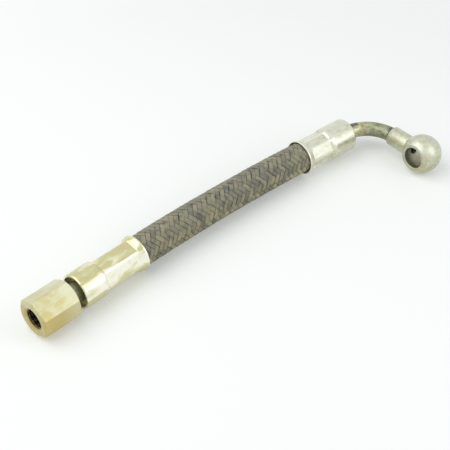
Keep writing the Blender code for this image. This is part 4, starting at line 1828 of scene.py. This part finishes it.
        # The cross hole is painted wholly dark, as shade
        grime_and_shade = np.where(in_hole, 1.0, np.where(in_bore, in_wall, outside))
        at_rim = np.abs(from_bore - self.bore_radius - self.bore_chamfer) < self.rub_reach
        worn = np.where(at_rim, self.rubbed, 0.0)
        for key, value in ((GRIME_AND_SHADE, grime_and_shade), (WORN, worn)):
            mesh.attributes.new(key, "FLOAT", "POINT").data.foreach_set("value", value)
        mesh.attributes.new(UNBENT, "FLOAT_VECTOR", "POINT").data.foreach_set("vector", points.ravel())


@dataclass(frozen=True)
class Lamp:
    """A soft box that looks at the middle of the scene."""

    name: str
    direction: tuple[float, float, float]
    distance: float
    size: tuple[float, float]
    power: float

    def light(self) -> None:
        """Hangs the lamp."""
        data = bpy.data.lights.new(self.name, "AREA")
        data.shape = "RECTANGLE"
        data.size, data.size_y = self.size
        data.energy = self.power
        made = bpy.data.objects.new(self.name, data)
        towards = Vector(self.direction).normalized()
        made.location = towards * self.distance
        made.rotation_euler = (-towards).to_track_quat("-Z", "Y").to_euler()
        bpy.context.scene.collection.objects.link(made)


@dataclass(frozen=True)
class Studio:
    """The camera, the pale floor and the light."""

    target: tuple[float, float, float] = (-0.010379, 0.013157, 0.011768)
    azimuth: float = math.radians(45.64)
    elevation: float = math.radians(40.75)
    distance: float = 0.61646
    lens: float = 80.112
    floor_width: float = 14.0
    floor_colour: str = "#E4E8E6"
    # The floor's glow to the eye near the hose and far off, and where it rises from one to the other
    floor_glow: float = 0.22
    far_glow: float = 0.50
    near: float = 0.3
    far: float = 1.4
    # Strength of the room as the object is lit by it, and as the eye and reflections see it
    world_light: float = 0.50
    world_seen: float = 0.90
    lamps: tuple[Lamp, ...] = (
        Lamp("high_soft_box", (-0.45, 0.35, 0.85), 0.90, (1.10, 0.95), 4.9),
        Lamp("front_soft_box", (0.26, -0.52, 0.39), 0.71, (0.36, 0.54), 0.95),
    )

    def point_camera(self) -> None:
        """Stands the camera where the photograph was taken from."""
        data = bpy.data.cameras.new("camera")
        data.lens = self.lens
        data.sensor_width = 36.0
        data.clip_start = 0.01
        data.clip_end = 20.0
        made = bpy.data.objects.new("camera", data)
        back = Vector((math.sin(self.azimuth), math.cos(self.azimuth), 0.0))
        right = Vector((math.cos(self.azimuth), -math.sin(self.azimuth), 0.0))
        ahead = back * math.cos(self.elevation) - Vector((0.0, 0.0, math.sin(self.elevation)))
        up = right.cross(ahead)
        turn = Matrix((right, up, -ahead)).transposed().to_4x4()
        made.matrix_world = Matrix.Translation(Vector(self.target) - ahead * self.distance) @ turn
        bpy.context.scene.collection.objects.link(made)
        bpy.context.scene.camera = made

    def lay_floor(self) -> None:
        """Lays the floor, which stays white to the eye and keeps the shadows."""
        half = self.floor_width / 2
        corners = [(-half, -half, 0), (half, -half, 0), (half, half, 0), (-half, half, 0)]
        mesh = bpy.data.meshes.new("floor")
        mesh.from_pydata(corners, [], [(0, 1, 2, 3)])
        made = bpy.data.materials.new("pale_paper")
        made.use_nodes = True
        tree = made.node_tree
        place = add_node(tree, "TexCoord")
        away = add_node(tree, "VectorMath", {0: place.outputs["Object"]}, operation="LENGTH")
        level = add_node(
            tree, "MapRange",
            {"Value": away, "From Min": self.near, "From Max": self.far,
             "To Min": self.floor_glow, "To Max": self.far_glow},
        )
        glow = add_node(tree, "Math", {0: self.seen(tree), 1: level}, operation="MULTIPLY")
        set_inputs(tree, tree.nodes["Principled BSDF"], {
            "Base Color": linear(self.floor_colour),
            "Roughness": 0.9,
            "Specular IOR Level": 0.1,
            "Emission Color": WHITE,
            "Emission Strength": glow,
        })
        mesh.materials.append(made)
        floor = bpy.data.objects.new("floor", mesh)
        bpy.context.scene.collection.objects.link(floor)

    @staticmethod
    def seen(tree: NodeTree) -> Node:
        """Adds nodes that tell rays to the eye and reflections from those that light the object.

        Args:
            tree: The node tree that gets them.

        Returns:
            The node that gives 1 for what the eye or a reflection sees.
        """
        rays = add_node(tree, "LightPath").outputs
        mirrored = add_node(
            tree, "Math", {0: rays["Is Glossy Ray"], 1: rays["Is Transmission Ray"]}, operation="MAXIMUM",
        )
        return add_node(tree, "Math", {0: rays["Is Camera Ray"], 1: mirrored}, operation="MAXIMUM")

    def light(self) -> None:
        """Sets the world and the lamps."""
        world = bpy.data.worlds.new("soft_room")
        world.use_nodes = True
        tree = world.node_tree
        strength = add_node(
            tree, "MapRange",
            {"Value": self.seen(tree), "To Min": self.world_light, "To Max": self.world_seen},
        )
        set_inputs(tree, tree.nodes["Background"], {"Color": WHITE, "Strength": strength})
        bpy.context.scene.world = world
        for lamp in self.lamps:
            lamp.light()
        bpy.context.scene.view_settings.view_transform = "Standard"


def mouth_place() -> Matrix:
    """The frame of the hex's open mouth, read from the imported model.

    Returns:
        A frame whose X axis runs along the stem.
    """
    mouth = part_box("hex_stem")[0]
    low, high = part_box("nut_ferrule")
    return Matrix.Translation((mouth[0], (low[1] + high[1]) / 2, (low[2] + high[2]) / 2))


def main() -> None:
    """Builds the studio, then the hose from its thread to its eye."""
    logging.basicConfig(level=logging.INFO, format="%(name)s: %(message)s")
    studio = Studio()
    studio.point_camera()

    finishes = Finishes()
    stem_place = mouth_place()
    stem = HexStem()
    hose = BraidedHose()
    hose_place = stem_place @ Matrix.Translation((stem.shoulder + CLEARANCE, 0.0, 0.0))
    hose.dress(hose_place, finishes.textile.make())
    stem.dress(stem_place, finishes.yellow.make())

    nut_ferrule = Ferrule(
        length=0.0469, crimp_length=0.0251, crimp_step=0.0015, crimp_radius=0.0107, jaws=6,
        jaw_depth=0.0011, jaw_phase=math.radians(-70.0), jaw_ridge=0.0006, end=FerruleEnd.OPEN_CUP,
    )
    nut_rim = hose_place @ Matrix.Translation((hose.nut_tuck, 0.0, 0.0)) @ Matrix.Rotation(math.pi, 4, "Z")
    nut_ferrule.dress("nut_sleeve", nut_rim, finishes.yellow_turned.make(), "nut_ferrule", Slot.YELLOW)

    eye_ferrule = Ferrule(
        length=0.0426, crimp_length=0.0162, crimp_step=0.0030, crimp_radius=0.01045, jaws=8,
        jaw_depth=0.00065, jaw_phase=math.radians(60.0), jaw_ridge=0.0021, end=FerruleEnd.CLOSED,
    )
    eye_rim = hose_place @ hose.route.place(hose.nut_tuck + hose.free_length)
    eye_ferrule.dress("eye_sleeve", eye_rim, finishes.green.make(), "eye_ferrule", Slot.GREEN)

    pipe = EyePipe()
    pipe.dress(eye_rim, finishes.dull.make())
    pipe.dress_joint(eye_rim, finishes.braze.make())
    RingEye().dress(pipe.mouth(eye_rim), finishes.eye.make())

    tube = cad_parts["inner_tube"]
    tube.data.materials.clear()
    tube.data.materials.append(finishes.rubber.make())

    studio.lay_floor()
    studio.light()


if __name__ == "__main__":
    main()
